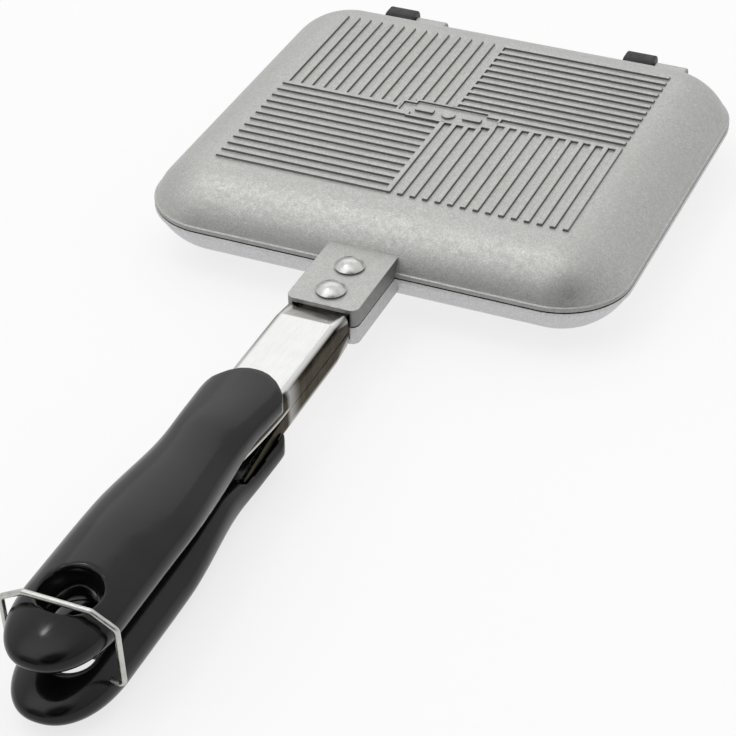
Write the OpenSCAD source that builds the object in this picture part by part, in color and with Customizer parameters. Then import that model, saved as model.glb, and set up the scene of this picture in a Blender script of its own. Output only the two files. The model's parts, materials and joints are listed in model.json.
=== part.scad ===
// Pie iron, closed: two domed cast pans hinged at the back, bent channel necks, long grips
// and a wire bail that latches the grips together.
// X runs across the pans, Y from the grips to the hinge and Z up. The origin is the middle of
// the lower pan's ribbed face, on which the iron rests.
// Each half is drawn above its closing plane, z = 0, and then put in place by upper() or lower().

/* [Pans] */
// Width of a pan across its rim
pan_w = 153.5; // [145:0.5:170]
// Depth of a pan from its front rim to its back rim
pan_d = 139; // [132:0.5:155]
// Height of one pan, from the closing plane to the tops of its ribs
pan_h = 15.7; // [14.5:0.1:18]
// Corner radius of the rim, seen from above
rim_r = 22; // [21:0.5:28]
// Height of the upright band round the rim
band_h = 2.4; // [1.5:0.1:3.5]
// Width of the ledge between the band and the foot of the dome
ledge = 0.8; // [0.3:0.1:1.5]
// Radius of the dome's curved side
dome_r = 22; // [18:0.5:23]
// Thickness of the casting
wall = 3; // [2:0.1:3.5]
// Width of the flat rim on which the pans close
rim_land = 4; // [3.5:0.1:5.5]
// Gap between the closed rims
pan_gap = 0.3; // [0.2:0.05:0.5]

/* [Ribs] */
// Distance from one rib to the next
rib_pitch = 4; // [3.6:0.1:4.1]
// Width of a rib
rib_w = 1.78; // [1.2:0.02:2.4]
// Height of a rib above the dome
rib_h = 1; // [0.6:0.1:1.4]
// Number of ribs on one side of the middle, across the pan
ribs_across = 14; // [8:1:14]
// Number of ribs on one side of the middle, front to back
ribs_deep = 12; // [6:1:12]
// Width of the bare field in the middle, at its long ends
field_w = 31.6; // [20:0.2:40]
// Depth of the bare field at its middle
field_d = 8.8; // [6:0.2:16]
// Depth of the bare field below the tops of the ribs
field_sink = 0.7; // [0.3:0.1:1]

/* [Bracket] */
// Width of the bracket at the front of a pan
bracket_w = 21.4; // [20:0.1:26]
// Length of the bracket in front of the rim
bracket_len = 27.9; // [26:0.1:34]
// Height of the bracket above the closing plane
bracket_h = 5.6; // [5:0.1:8]
// Thickness of the bracket's side walls
bracket_wall = 2.2; // [1.5:0.1:3]
// Corner radius of the bracket, seen from above
bracket_r = 1.8; // [1:0.1:3]
// Height of the bracket's open mouth above the closing plane
mouth_h = 4.3; // [3.4:0.1:4.6]
// Depth of the open mouth
mouth_len = 3.6; // [2:0.1:5]
// Diameter of a rivet head
rivet_head_d = 9.2; // [7:0.1:10]
// Height of a rivet head
rivet_head_h = 2; // [1:0.1:2.5]
// Diameter of a rivet shank
rivet_d = 5; // [4:0.1:6]
// Distance from the bracket's front face to the front rivet
rivet_inset = 7.4; // [6:0.1:9]
// Distance between the two rivets
rivet_pitch = 13.2; // [10.5:0.1:14]

/* [Hinge] */
// Distance from the back rim to the hinge axis
hinge_out = 8; // [7.8:0.1:10]
// Distance from the middle of the pan to the joint between hook and lug
hinge_x = 43; // [35:0.5:48]
// Length of a hook along the hinge axis
hook_len = 12.3; // [11.5:0.1:14]
// Thickness of a hook
hook_t = 9; // [7.5:0.1:9.4]
// Corner radius of a hook
hook_r = 2; // [1.5:0.1:3]
// Length of a lug along the hinge axis
lug_len = 10.8; // [9:0.1:13]
// Thickness of a lug
lug_t = 5.8; // [5:0.1:7]
// Gap along the axis between hook and lug
hinge_gap = 0.4; // [0.3:0.1:0.8]
// Diameter of a hinge pin
pin_d = 3; // [2:0.1:3.6]
// Length of the pin that stands in the hook
pin_reach = 9; // [6:0.1:9.5]
// Radial clearance of a turning pin in its bore
pin_play = 0.05; // [0.02:0.01:0.1]

/* [Necks] */
// Width of the neck's tongue inside the bracket
tongue_w = 16.4; // [14:0.1:16.6]
// Height of the tongue above the closing plane
tongue_h = 2.4; // [2.2:0.05:2.8]
// Width of the neck between bracket and grip
neck_w = 19.4; // [17:0.1:20]
// Height of the neck above the closing plane
neck_h = 7.2; // [6:0.1:8]
// Thickness of the sheet
sheet_t = 1.5; // [1:0.05:1.6]
// Radius of the neck's long bends
bend_r = 2.4; // [1.8:0.1:3]
// Length over which the neck rises from the bracket
rise_len = 14; // [8:0.5:18]
// Distance from the closing plane to the edges of the neck's flanges
flange_gap = 0.3; // [0.2:0.05:0.5]
// Length of the tang inside the grip
tang_len = 28.5; // [24:0.5:34]

/* [Grips] */
// Distance from the bracket's front face to the front of the grip
grip_gap = 42.1; // [36:0.1:50]
// Length of a grip
grip_len = 123; // [110:0.5:140]
// Width of a grip at its front end
grip_front_w = 24.8; // [24.4:0.1:28]
// Width of a grip at its waist
grip_waist_w = 24; // [23.6:0.1:27]
// Width of a grip at its rear bulb
grip_rear_w = 29; // [27:0.1:32]
// Height of a grip at its front end, above the closing plane
grip_front_h = 11.6; // [11:0.1:13]
// Height of a grip at its waist, above the closing plane
grip_waist_h = 13.5; // [12.5:0.1:15]
// Distance from the closing plane to the inner face of a grip
grip_inner = 1.2; // [0.8:0.1:2]
// Radius of the grip's rounded front end, seen from above
nose_r = 13; // [12.5:0.1:20]
// Width of the hanging hole
hang_w = 10.4; // [8:0.1:12]
// Length of the hanging hole
hang_len = 16.4; // [13:0.1:20]
// Radius of the hanging hole's dished rim
hang_flare = 3.6; // [2:0.1:4]
// Distance from the rear end of a grip to the middle of its hanging hole
hang_inset = 21.5; // [18:0.1:26]
// Clearance round the tang in its grip
tang_fit = 0.1; // [0.05:0.01:0.2]
// Diameter of a grip screw
screw_d = 3.5; // [3:0.1:4.2]
// Diameter of a grip screw's head
screw_head_d = 7; // [6:0.1:8]
// Height of a grip screw's head
screw_head_h = 2; // [1.2:0.1:2.4]
// Distance from the front of the grip to its first screw
screw_inset = 9; // [7:0.5:11]
// Distance between the two screws of a grip
screw_pitch = 11; // [9:0.5:13]

/* [Bail] */
// Diameter of the bail's wire
wire_d = 2; // [1.6:0.1:2.4]
// Distance from the rear end of the lower grip to the bail's pivot
bail_inset = 16.5; // [14:0.1:18]
// Distance of the bail's pivot below the closing plane
bail_drop = 5.8; // [4:0.1:8]
// Length of the bail's top bar between its corners
bail_top_w = 18.4; // [14:0.1:22]
// Height of the bail's bevelled corners
bail_bevel = 4.7; // [3:0.1:6]
// Least gap between the bail and the grips
bail_gap = 0.35; // [0.3:0.05:0.8]
// Length of wire held in the lower grip at each side
bail_hold = 5.5; // [4:0.1:6]
// Radius of the bends in the bail's wire
bail_bend = 1.6; // [1.3:0.1:2]

/* [Hidden] */
$fn = 48;

// How far a cut runs past the surface that it opens
past = 1;
// Clearance of a fastener or a pin that doesn't turn in its hole
fixed_fit = 0.02;
// Clearance of the tongue in the bracket
tongue_fit = 0.05;

crown = pan_h - rib_h;                       // top of the dome between the ribs
dome_z = crown - dome_r;                     // centre of the dome's arc
dome_foot = asin((band_h - dome_z) / dome_r);
dome_in = ledge + dome_r * cos(dome_foot);   // from the rim in to the centre of the arc
DOME_STEPS = 9;

rib_reach_x = ribs_across * rib_pitch + rib_w / 2;
rib_reach_y = ribs_deep * rib_pitch + rib_w / 2;
field_end_d = field_d - 3.4;                 // depth of the field at its long ends
field_mid_w = field_w - 8.2;                 // width of its deeper middle
stud_r = 2.2;                                // round stud in the middle of the field
field_bar_w = 2.3;                           // plain bars beside the stud

front_rim = -pan_d / 2;
back_rim = pan_d / 2;
hinge_y = back_rim + hinge_out;
bore_spare = 1.5;                            // room in a hook's bore beyond the end of its pin
bracket_front = front_rim - bracket_len;
bracket_root = front_rim + wall;
tongue_stop = 3.8;                           // from the rim to the end of the tongue
tongue_end = front_rim - tongue_stop;
rivet_y = [bracket_front + rivet_inset, bracket_front + rivet_inset + rivet_pitch];
rivet_tail_d = rivet_d + 2;
rivet_tail_h = tongue_h - sheet_t - flange_gap;

tang_curve = 9;                              // length over which the flanges curve up at the tang
tang_lift = 3.4;                             // how far they curve up
widen_len = 7;                               // length over which the neck widens at the bracket
least_flank = 0.2;                           // least straight height of a flange below its bend
least_bend = 0.1;                            // least radius inside a bend
BEND_STEPS = 4;
RISE_STEPS = 9;
TANG_STEPS = 5;

grip_front = bracket_front - grip_gap;
grip_rear = grip_front - grip_len;
tang_end = grip_front - tang_len;
rise_off = 0.8;                              // from the bracket to the foot of the neck's rise
rise_start = bracket_front - rise_off;
GRIP_SIDES = 32;
GRIP_RINGS = 22;
CAP_RINGS = 10;
grip_cap = 23;                               // length of the rounded rear end
cap_drop = 2.2;                              // how far its tip lies below the middle of the section
waist_at = 28;                               // from the grip's front to its waist
bulb_at = 68;                                // from the grip's front to its full width
full_h_at = 80;                              // from the grip's front to its full height
section_n = 2.2;                             // exponent of the section's rounded corners
boxy_n = 4;                                  // the same for its lower corners in front
cap_n = 2.5;                                 // exponent of the rear end, seen from above
cap_tip = 0.995;                             // how much of the rear end's curve is drawn
hang_y = grip_rear + hang_inset;
hang_rim = 1.2;                              // radius of the hanging hole's inner rim
HANG_STEPS = 6;
screw_y = [grip_front - screw_inset, grip_front - screw_inset - screw_pitch];
screw_bite = 4.6;                            // length of thread in the grip

bail_y = grip_rear + bail_inset;
bail_leg_x = grip_rear_w / 2 + bail_gap + wire_d / 2;
bail_top_z = pan_h + bail_gap + wire_d / 2;
bail_spare = 0.5;                            // room in the bail's bore beyond the end of its wire
bend_swell = 0.02;                           // the wire is thicker by this at a bend ...
bend_join = 0.1;                             // ... and its straight runs end this far inside it

module upper() { translate([0, 0, pan_h]) children(); }
module lower() { translate([0, 0, pan_h]) mirror([0, 0, 1]) children(); }

function ease(t) = let (c = min(1, max(0, t))) c * c * (3 - 2 * c);
function blend(a, b, t) = a + (b - a) * ease(t);
function arc(cu, cz, r, from, to, steps) =
    [for (i = [0:steps]) let (a = from + (to - from) * i / steps) [cu + r * cos(a), cz + r * sin(a)]];

// ---- Pans ----

// Half sections: u runs from the middle out to the rim at reach, the second number is the height
function shell_section(reach) = [
    for (p = concat(
        [[0, pan_gap / 2], [reach, pan_gap / 2], [reach, band_h]],
        arc(reach - dome_in, dome_z, dome_r, dome_foot, 90, DOME_STEPS),
        [[0, crown]])) [max(0, p[0]), p[1]]];
function cavity_section(reach) =
    let (r = dome_r - wall, from = acos((dome_in - rim_land) / r))
    [for (p = concat(
        [[0, -past], [reach - rim_land, -past]],
        arc(reach - dome_in, dome_z, r, from, 90, DOME_STEPS),
        [[0, crown - wall]])) [max(0, p[0]), p[1]]];
function section(reach, inside) = inside ? cavity_section(reach) : shell_section(reach);
function both_sides(half) =
    concat(half, [for (i = [len(half) - 1:-1:0]) [-half[i][0], half[i][1]]]);

module pan_form(inside) {
    straight_x = pan_w - 2 * rim_r;
    straight_y = pan_d - 2 * rim_r;
    rotate([90, 0, 0])
        linear_extrude(straight_y, center = true) polygon(both_sides(section(pan_w / 2, inside)));
    rotate([90, 0, 90])
        linear_extrude(straight_x, center = true) polygon(both_sides(section(pan_d / 2, inside)));
    for (corner = [[1, 1, 0], [-1, 1, 90], [-1, -1, 180], [1, -1, 270]])
        translate([corner[0] * straight_x / 2, corner[1] * straight_y / 2, 0])
            rotate([0, 0, corner[2]])
                rotate_extrude(angle = 90) polygon(section(rim_r, inside));
}

// One rib, given by its two far corners, rooted in the dome's wall
module rib(from, to) {
    root = wall / 2;
    translate([from[0], from[1], crown - root])
        cube([to[0] - from[0], to[1] - from[1], rib_h + root]);
}

// Four combs of ribs, turned one after the other about the middle, and the cross of their backs
module rib_pattern() {
    half = rib_w / 2;
    rib([-rib_reach_x, -half], [rib_reach_x, half]);
    rib([-half, -rib_reach_y], [half, rib_reach_y]);
    for (i = [1:ribs_deep]) {
        rib([-rib_reach_x, -i * rib_pitch - half], [0, -i * rib_pitch + half]);
        rib([0, i * rib_pitch - half], [rib_reach_x, i * rib_pitch + half]);
    }
    for (i = [1:ribs_across]) {
        rib([i * rib_pitch - half, -rib_reach_y], [i * rib_pitch + half, 0]);
        rib([-i * rib_pitch - half, 0], [-i * rib_pitch + half, rib_reach_y]);
    }
}

// Outline of the field in the middle: a long bar with a deeper, shorter one across it
module field_outline(grow) {
    square([field_w + 2 * grow, field_end_d + 2 * grow], center = true);
    square([field_mid_w + 2 * grow, field_d + 2 * grow], center = true);
}
module field_plate() {
    translate([0, 0, crown - wall / 2])
        linear_extrude(rib_h + wall / 2) field_outline(rib_w / 2);
}
// The sunk part of the field, which leaves a round stud and two plain bars standing
module field_recess() {
    translate([0, 0, pan_h - field_sink]) linear_extrude(field_sink + past)
        difference() {
            field_outline(0);
            circle(stud_r);
            for (side = [-1, 1]) translate([side * field_w / 4, 0])
                square([field_w / 4 - rib_w, field_bar_w], center = true);
        }
}

module bracket_block() {
    corner_x = bracket_w / 2 - bracket_r;
    translate([0, 0, pan_gap / 2]) linear_extrude(bracket_h - pan_gap / 2) {
        translate([-corner_x, bracket_front]) square([2 * corner_x, bracket_root - bracket_front]);
        translate([-bracket_w / 2, bracket_front + bracket_r])
            square([bracket_w, bracket_root - bracket_front - bracket_r]);
        for (side = [-1, 1]) translate([side * corner_x, bracket_front + bracket_r])
            circle(bracket_r);
    }
}
module bracket_cuts() {
    pocket_w = bracket_w - 2 * bracket_wall;
    translate([-pocket_w / 2, bracket_front - past, -past])
        cube([pocket_w, tongue_end + tongue_fit - bracket_front + past, tongue_h + tongue_fit + past]);
    translate([-pocket_w / 2, bracket_front - past, -past])
        cube([pocket_w, mouth_len + past, mouth_h + past]);
    for (y = rivet_y) translate([0, y, 0])
        cylinder(h = bracket_h + past, d = rivet_d + 2 * fixed_fit);
}

module pan_casting() {
    difference() {
        union() {
            pan_form(false);
            rib_pattern();
            field_plate();
            bracket_block();
        }
        pan_form(true);
        field_recess();
        bracket_cuts();
    }
}

// Where each hook and lug begins and ends along the axis; the lug is always at the hook's right
module hinge_places() { for (side = [-1, 1]) translate([side * hinge_x, hinge_y, 0]) children(); }

// A hook: a rounded block round the pin, on a root that grows out of the lower pan's back
module hook() {
    edge = hook_t / 2 - hook_r;
    root = hinge_out + wall;
    difference() {
        translate([-hook_len - hinge_gap / 2, 0, 0]) rotate([90, 0, 90]) linear_extrude(hook_len) {
            square([hook_t, 2 * edge], center = true);
            square([2 * edge, hook_t], center = true);
            for (u = [-edge, edge], v = [-edge, edge]) translate([u, v]) circle(hook_r);
            translate([-root, pan_gap / 2]) square([root, hook_t / 2 - pan_gap / 2]);
        }
        translate([-pin_reach - bore_spare - hinge_gap / 2, 0, 0]) rotate([0, 90, 0])
            cylinder(h = pin_reach + bore_spare + past, d = pin_d + 2 * pin_play);
    }
}
// A lug: a barrel that holds the pin, on a web that grows out of the upper pan's back
module lug() {
    root = hinge_out + wall;
    difference() {
        translate([hinge_gap / 2, 0, 0]) rotate([90, 0, 90]) linear_extrude(lug_len) {
            circle(d = lug_t);
            translate([-root, pan_gap / 2]) square([root, lug_t / 2 - pan_gap / 2]);
        }
        translate([hinge_gap / 2 - past, 0, 0]) rotate([0, 90, 0])
            cylinder(h = lug_len + 2 * past, d = pin_d + 2 * fixed_fit);
    }
}

module lower_pan() {
    color([0.72, 0.72, 0.71]) lower() {
        pan_casting();
        hinge_places() hook();
    }
}
module upper_pan() {
    color([0.72, 0.72, 0.69]) upper() {
        pan_casting();
        hinge_places() lug();
    }
}
module hinge_pins() {
    color([0.6, 0.6, 0.62]) upper() hinge_places()
        translate([-pin_reach - hinge_gap / 2, 0, 0]) rotate([0, 90, 0])
            cylinder(h = pin_reach + hinge_gap + lug_len, d = pin_d);
}

// ---- Lofted forms ----

// Skin over rings of points that follow each other along -Y, each ring running up on its +X side.
// An end is closed by strips between the ring's first half and its second half.
module loft(rings) {
    n = len(rings[0]);
    last = len(rings) - 1;
    strips = [for (i = [0:n / 2 - 2]) [i, i + 1, n - 2 - i, n - 1 - i]];
    polyhedron(
        points = [for (ring = rings, p = ring) p],
        faces = concat(
            [for (q = strips) [q[0], q[1], q[2]]],
            [for (q = strips) [q[0], q[2], q[3]]],
            [for (q = strips) [for (i = [2, 1, 0]) last * n + q[i]]],
            [for (q = strips) [for (i = [3, 2, 0]) last * n + q[i]]],
            [for (j = [0:last - 1], i = [0:n - 1])
                let (k = (i + 1) % n) [j * n + i, (j + 1) * n + i, (j + 1) * n + k]],
            [for (j = [0:last - 1], i = [0:n - 1])
                let (k = (i + 1) % n) [j * n + i, (j + 1) * n + k, j * n + k]]));
}

// ---- Necks ----

function neck_half_w(y) = blend(tongue_w, neck_w, (rise_start - y) / widen_len) / 2;
function neck_top(y) = blend(tongue_h, neck_h, (rise_start - y) / rise_len);
function neck_edge(y) = let (t = max(0, tang_end + tang_curve - y) / tang_curve)
    flange_gap + tang_lift * (1 - sqrt(max(0, 1 - t * t)));
// A channel's section, out along its outside and back along its inside
function channel_ring(y) =
    let (w = neck_half_w(y), top = neck_top(y), low = neck_edge(y),
         r = min(bend_r, top - low - least_flank),
         ri = max(least_bend, min(r - sheet_t, top - sheet_t - low - least_flank)),
         outer = arc(w - r, top - r, r, 0, 90, BEND_STEPS),
         inner = arc(w - sheet_t - ri, top - sheet_t - ri, ri, 0, 90, BEND_STEPS))
    [for (p = concat(
        [[w, low]], outer, [for (i = [BEND_STEPS:-1:0]) [-outer[i][0], outer[i][1]]], [[-w, low]],
        [[sheet_t - w, low]], [for (p = inner) [-p[0], p[1]]],
        [for (i = [BEND_STEPS:-1:0]) inner[i]], [[w - sheet_t, low]])) [p[0], y, p[1]]];

module neck() {
    difference() {
        loft([for (y = concat(
            [tongue_end],
            [for (i = [0:RISE_STEPS]) rise_start - rise_len * i / RISE_STEPS],
            [for (i = [0:TANG_STEPS]) tang_end + tang_curve * (1 - i / TANG_STEPS)])) channel_ring(y)]);
        for (y = rivet_y) translate([0, y, 0]) cylinder(h = bracket_h, d = rivet_d + 2 * fixed_fit);
        for (y = screw_y) translate([0, y, 0]) cylinder(h = neck_h + past, d = screw_d + 2 * fixed_fit);
    }
}
module lower_neck() { color([0.8, 0.8, 0.79]) lower() neck(); }
module upper_neck() { color([0.8, 0.8, 0.79]) upper() neck(); }

// Two rivets: domed head on the bracket, shank, and a flat tail under the tongue
module neck_rivets() {
    dome = (pow(rivet_head_d / 2, 2) + pow(rivet_head_h, 2)) / (2 * rivet_head_h);
    for (y = rivet_y) translate([0, y, 0]) {
        translate([0, 0, flange_gap]) cylinder(h = rivet_tail_h, d = rivet_tail_d);
        translate([0, 0, flange_gap]) cylinder(h = bracket_h - flange_gap + past / 2, d = rivet_d);
        intersection() {
            translate([0, 0, bracket_h + rivet_head_h - dome]) sphere(dome);
            translate([0, 0, bracket_h]) cylinder(h = rivet_head_h + past, d = rivet_head_d);
        }
    }
}
module lower_neck_rivets() { color([0.85, 0.85, 0.84]) lower() neck_rivets(); }
module upper_neck_rivets() { color([0.85, 0.85, 0.84]) upper() neck_rivets(); }

// ---- Grips ----

// Sizes of the grip at the distance s behind its front end
function grip_half_w(s) = s < waist_at
    ? blend(grip_front_w, grip_waist_w, s / waist_at) / 2
    : blend(grip_waist_w, grip_rear_w, (s - waist_at) / (bulb_at - waist_at)) / 2;
function grip_top(s) = s < waist_at
    ? blend(grip_front_h, grip_waist_h, s / waist_at)
    : blend(grip_waist_h, pan_h, (s - waist_at) / (full_h_at - waist_at));
// How square the lower corners of the section are: nearly a box in front, an oval behind
function grip_square(s) = blend(boxy_n, section_n, (s - waist_at) / (bulb_at - waist_at));
function squircle(c, n) = sign(c) * pow(abs(c), 2 / n);

function grip_ring(s) =
    let (u = min(cap_tip, max(0, (s - (grip_len - grip_cap)) / grip_cap)),
         w = grip_half_w(s) * pow(1 - pow(u, cap_n), 1 / cap_n),
         h = (grip_top(s) - grip_inner) / 2 * sqrt(1 - u * u),
         mid = (grip_top(s) + grip_inner) / 2 - cap_drop * ease(u))
    [for (i = [0:GRIP_SIDES - 1])
        let (a = 360 * (i + 0.5) / GRIP_SIDES, n = sin(a) > 0 ? section_n : grip_square(s))
        [w * squircle(cos(a), n), grip_front - s, mid + h * squircle(sin(a), n)]];

// The hanging hole's cutter: a straight slot whose ends and rim are rounded
module hang_cut() {
    r = hang_w / 2;
    half = concat(
        [[0, grip_inner - past], [r + hang_rim, grip_inner - past]],
        arc(r + hang_rim, grip_inner + hang_rim, hang_rim, -90, -180, HANG_STEPS / 2),
        arc(r + hang_flare, pan_h - hang_flare, hang_flare, 180, 90, HANG_STEPS),
        [[r + hang_flare, pan_h + past], [0, pan_h + past]]);
    straight = hang_len - hang_w;
    translate([0, hang_y, 0]) {
        rotate([90, 0, 0]) linear_extrude(straight, center = true)
            polygon(both_sides(half));
        for (end = [-1, 1]) translate([0, end * straight / 2, 0]) rotate_extrude() polygon(half);
    }
}

module grip_body() {
    nose_y = grip_front - nose_r;
    pocket_w = neck_w + 2 * tang_fit;
    difference() {
        intersection() {
            loft([for (s = concat(
                [for (i = [0:GRIP_RINGS]) (grip_len - grip_cap) * i / GRIP_RINGS],
                [for (i = [1:CAP_RINGS]) grip_len - grip_cap + grip_cap * sin(89 * i / CAP_RINGS)]))
                grip_ring(s)]);
            linear_extrude(pan_h + past) {
                translate([0, nose_y]) circle(nose_r);
                translate([-grip_rear_w, grip_rear - past]) square([2 * grip_rear_w, nose_y - grip_rear + past]);
            }
        }
        translate([-pocket_w / 2, tang_end - tang_fit, grip_inner - past])
            cube([pocket_w, grip_front - tang_end + past, neck_h + tang_fit - grip_inner + past]);
        hang_cut();
        for (y = screw_y) translate([0, y, neck_h - past])
            cylinder(h = screw_bite + past + fixed_fit, d = screw_d + 2 * fixed_fit);
    }
}

module upper_grip() { color([0.1, 0.1, 0.1]) upper() grip_body(); }
// The lower grip is the same but for a blind bore in each flank, in which the bail turns
module lower_grip() {
    color([0.1, 0.1, 0.1]) lower() difference() {
        grip_body();
        for (side = [0, 1]) mirror([side, 0, 0])
            translate([bail_leg_x - wire_d / 2 - bail_gap - bail_hold - bail_spare, bail_y, bail_drop])
                rotate([0, 90, 0]) cylinder(h = bail_hold + bail_spare + past, d = wire_d + 2 * pin_play);
    }
}

// Two screws that run from inside the tang's channel into the grip
module grip_screws() {
    web = neck_h - sheet_t;
    for (y = screw_y) translate([0, y, 0]) {
        translate([0, 0, web - screw_head_h]) cylinder(h = screw_head_h, d = screw_head_d);
        translate([0, 0, web - past / 2]) cylinder(h = sheet_t + screw_bite + past / 2, d = screw_d);
    }
}
module lower_grip_screws() { color([0.7, 0.7, 0.72]) lower() grip_screws(); }
module upper_grip_screws() { color([0.7, 0.7, 0.72]) upper() grip_screws(); }

// ---- Bail ----

function unit(v) = v / norm(v);

// A round wire through points given as (x, z), with an arc at each bend
module wire(points) {
    last = len(points) - 1;
    // Length that a bend takes off each straight, and the turn at each point
    turn = [for (i = [0:last]) i == 0 || i == last ? 0
        : acos(unit(points[i] - points[i - 1]) * unit(points[i + 1] - points[i]))];
    trim = [for (a = turn) bail_bend * tan(a / 2)];
    for (i = [1:last]) {
        along = unit(points[i] - points[i - 1]);
        from = points[i - 1] + along * (i == 1 ? 0 : trim[i - 1] - bend_join);
        to = points[i] - along * (i == last ? 0 : trim[i] - bend_join);
        translate([from[0], 0, from[1]]) rotate([0, atan2(along[0], along[1]), 0])
            cylinder(h = norm(to - from), d = wire_d);
    }
    for (i = [1:last - 1]) {
        a = unit(points[i] - points[i - 1]);
        b = unit(points[i + 1] - points[i]);
        left = a[0] * b[1] > a[1] * b[0];
        start = points[i] - a * trim[i];
        centre = start + bail_bend * (left ? [-a[1], a[0]] : [a[1], -a[0]]);
        first = (left ? start : points[i] + b * trim[i]) - centre;
        translate([centre[0], 0, centre[1]]) rotate([90, 0, 0]) rotate([0, 0, atan2(first[1], first[0])])
            rotate_extrude(angle = turn[i]) translate([bail_bend, 0]) circle(d = wire_d + bend_swell);
    }
}
module latch_bail() {
    held_x = bail_leg_x - wire_d / 2 - bail_gap - bail_hold;
    half = [[held_x, -bail_drop], [bail_leg_x, -bail_drop],
            [bail_leg_x, bail_top_z - bail_bevel], [bail_top_w / 2, bail_top_z]];
    color([0.75, 0.75, 0.73]) upper() translate([0, bail_y, 0])
        wire(concat(half, [for (i = [3:-1:0]) [-half[i][0], half[i][1]]]));
}

lower_pan();
upper_pan();
hinge_pins();
lower_neck();
upper_neck();
lower_neck_rivets();
upper_neck_rivets();
lower_grip();
upper_grip();
lower_grip_screws();
upper_grip_screws();
latch_bail();
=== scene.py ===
"""Looks of a pie iron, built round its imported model. Laid out as a Blender add-on and run as a script."""

import json
import math

import bmesh
import bpy
from bpy.props import FloatProperty, FloatVectorProperty, IntProperty, PointerProperty
from mathutils import Matrix, Vector


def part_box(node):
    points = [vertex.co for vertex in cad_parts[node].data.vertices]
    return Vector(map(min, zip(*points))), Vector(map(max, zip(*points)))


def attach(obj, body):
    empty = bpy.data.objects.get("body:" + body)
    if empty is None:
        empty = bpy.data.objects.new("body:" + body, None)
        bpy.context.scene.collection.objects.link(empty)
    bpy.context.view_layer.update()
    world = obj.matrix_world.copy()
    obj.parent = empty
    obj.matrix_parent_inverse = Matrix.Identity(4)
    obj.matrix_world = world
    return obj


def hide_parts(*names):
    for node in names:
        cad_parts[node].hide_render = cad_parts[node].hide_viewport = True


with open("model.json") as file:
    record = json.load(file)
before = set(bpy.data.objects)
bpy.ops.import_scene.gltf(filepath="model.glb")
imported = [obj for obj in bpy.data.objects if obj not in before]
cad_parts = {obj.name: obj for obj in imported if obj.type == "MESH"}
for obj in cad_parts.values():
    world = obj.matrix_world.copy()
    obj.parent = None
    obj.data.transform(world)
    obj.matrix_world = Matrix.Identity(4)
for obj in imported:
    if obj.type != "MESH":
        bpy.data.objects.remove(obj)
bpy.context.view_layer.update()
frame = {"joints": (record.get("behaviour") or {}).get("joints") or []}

bl_info = {
    "name": "Pie Iron",
    "version": (1, 0, 0),
    "blender": (4, 5, 0),
    "location": "3D View > Sidebar > Pie Iron",
    "description": "Builds the castings, necks, grips and bail of a hinged pie iron",
    "category": "Add Mesh",
}

MM = 0.001
JOINTS = {joint["name"]: joint for joint in frame["joints"]}
HINGE = Vector(JOINTS["pan_hinge"]["pos_m"])
BAIL_PIVOT = Vector(JOINTS["bail_swing"]["pos_m"])
CLOSING_Z = HINGE.z                              # the plane in which the two pans close
PAN_HALF_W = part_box("upper_pan")[1].x
BRACKET_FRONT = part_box("upper_pan")[0].y
GRIP_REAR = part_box("upper_grip")[0].y
GRIP_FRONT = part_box("upper_grip")[1].y
TANG_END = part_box("upper_neck")[0].y
TONGUE_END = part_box("upper_neck")[1].y
NECK_HALF_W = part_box("upper_neck")[1].x
NECK_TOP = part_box("upper_neck")[1].z - CLOSING_Z
SIDES = (-1, 1)
SPARE = MM                                       # how far a cutter reaches past what it cuts


# ---- Sizes and colours that a user would change ----

def length(name, description, millimetres):
    """A size property in metres, given here in millimetres."""
    return FloatProperty(name=name, description=description, default=millimetres * MM, min=0.0,
                         unit="LENGTH", precision=5)


def colour(name, description, value):
    return FloatVectorProperty(name=name, description=description, default=value, size=3,
                               min=0.0, max=1.0, subtype="COLOR")


class PanSizes(bpy.types.PropertyGroup):
    depth: length("Depth", "From the front rim to the back rim", 139.0)
    corner: length("Corner radius", "Corner radius of the rim, seen from above", 22.0)
    band: length("Band", "Height of the upright band round the rim", 1.6)
    ledge: length("Ledge", "Width of the ledge at the foot of the dome", 0.5)
    dome: length("Dome radius", "Radius of the dome's curved side", 22.0)
    wall: length("Wall", "Thickness of the casting", 3.0)
    land: length("Land", "Width of the flat rim on which the pans close", 4.0)
    gap: length("Gap", "Gap between the closed rims", 0.44)
    edge: length("Edge", "Radius of the casting's edges", 0.3)
    film: length("Film", "Thickness of the black non-stick film", 0.06)


class ReliefSizes(bpy.types.PropertyGroup):
    pitch: length("Pitch", "Distance from one rib to the next", 4.0)
    width: length("Width", "Width of a rib", 1.78)
    height: length("Height", "Height of a rib above the dome", 0.8)
    draft: length("Draft", "How far a rib's side leans over its height", 0.12)
    edge: length("Edge", "Radius of a rib's top edges", 0.22)
    across: IntProperty(name="Ribs across", description="Ribs on one side of the middle, across",
                        default=14, min=1, max=20)
    deep: IntProperty(name="Ribs deep", description="Ribs on one side of the middle, front to back",
                      default=12, min=1, max=20)
    field_width: length("Field width", "Width of the bare field in the middle", 31.6)
    field_depth: length("Field depth", "Depth of the bare field at its middle", 8.8)
    field_sink: length("Field sink", "Depth of the field below the ribs' tops", 0.72)
    step_width: length("Step width", "How far the field's ends stand out", 4.1)
    step_depth: length("Step depth", "How much narrower the field's ends are", 1.7)


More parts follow.
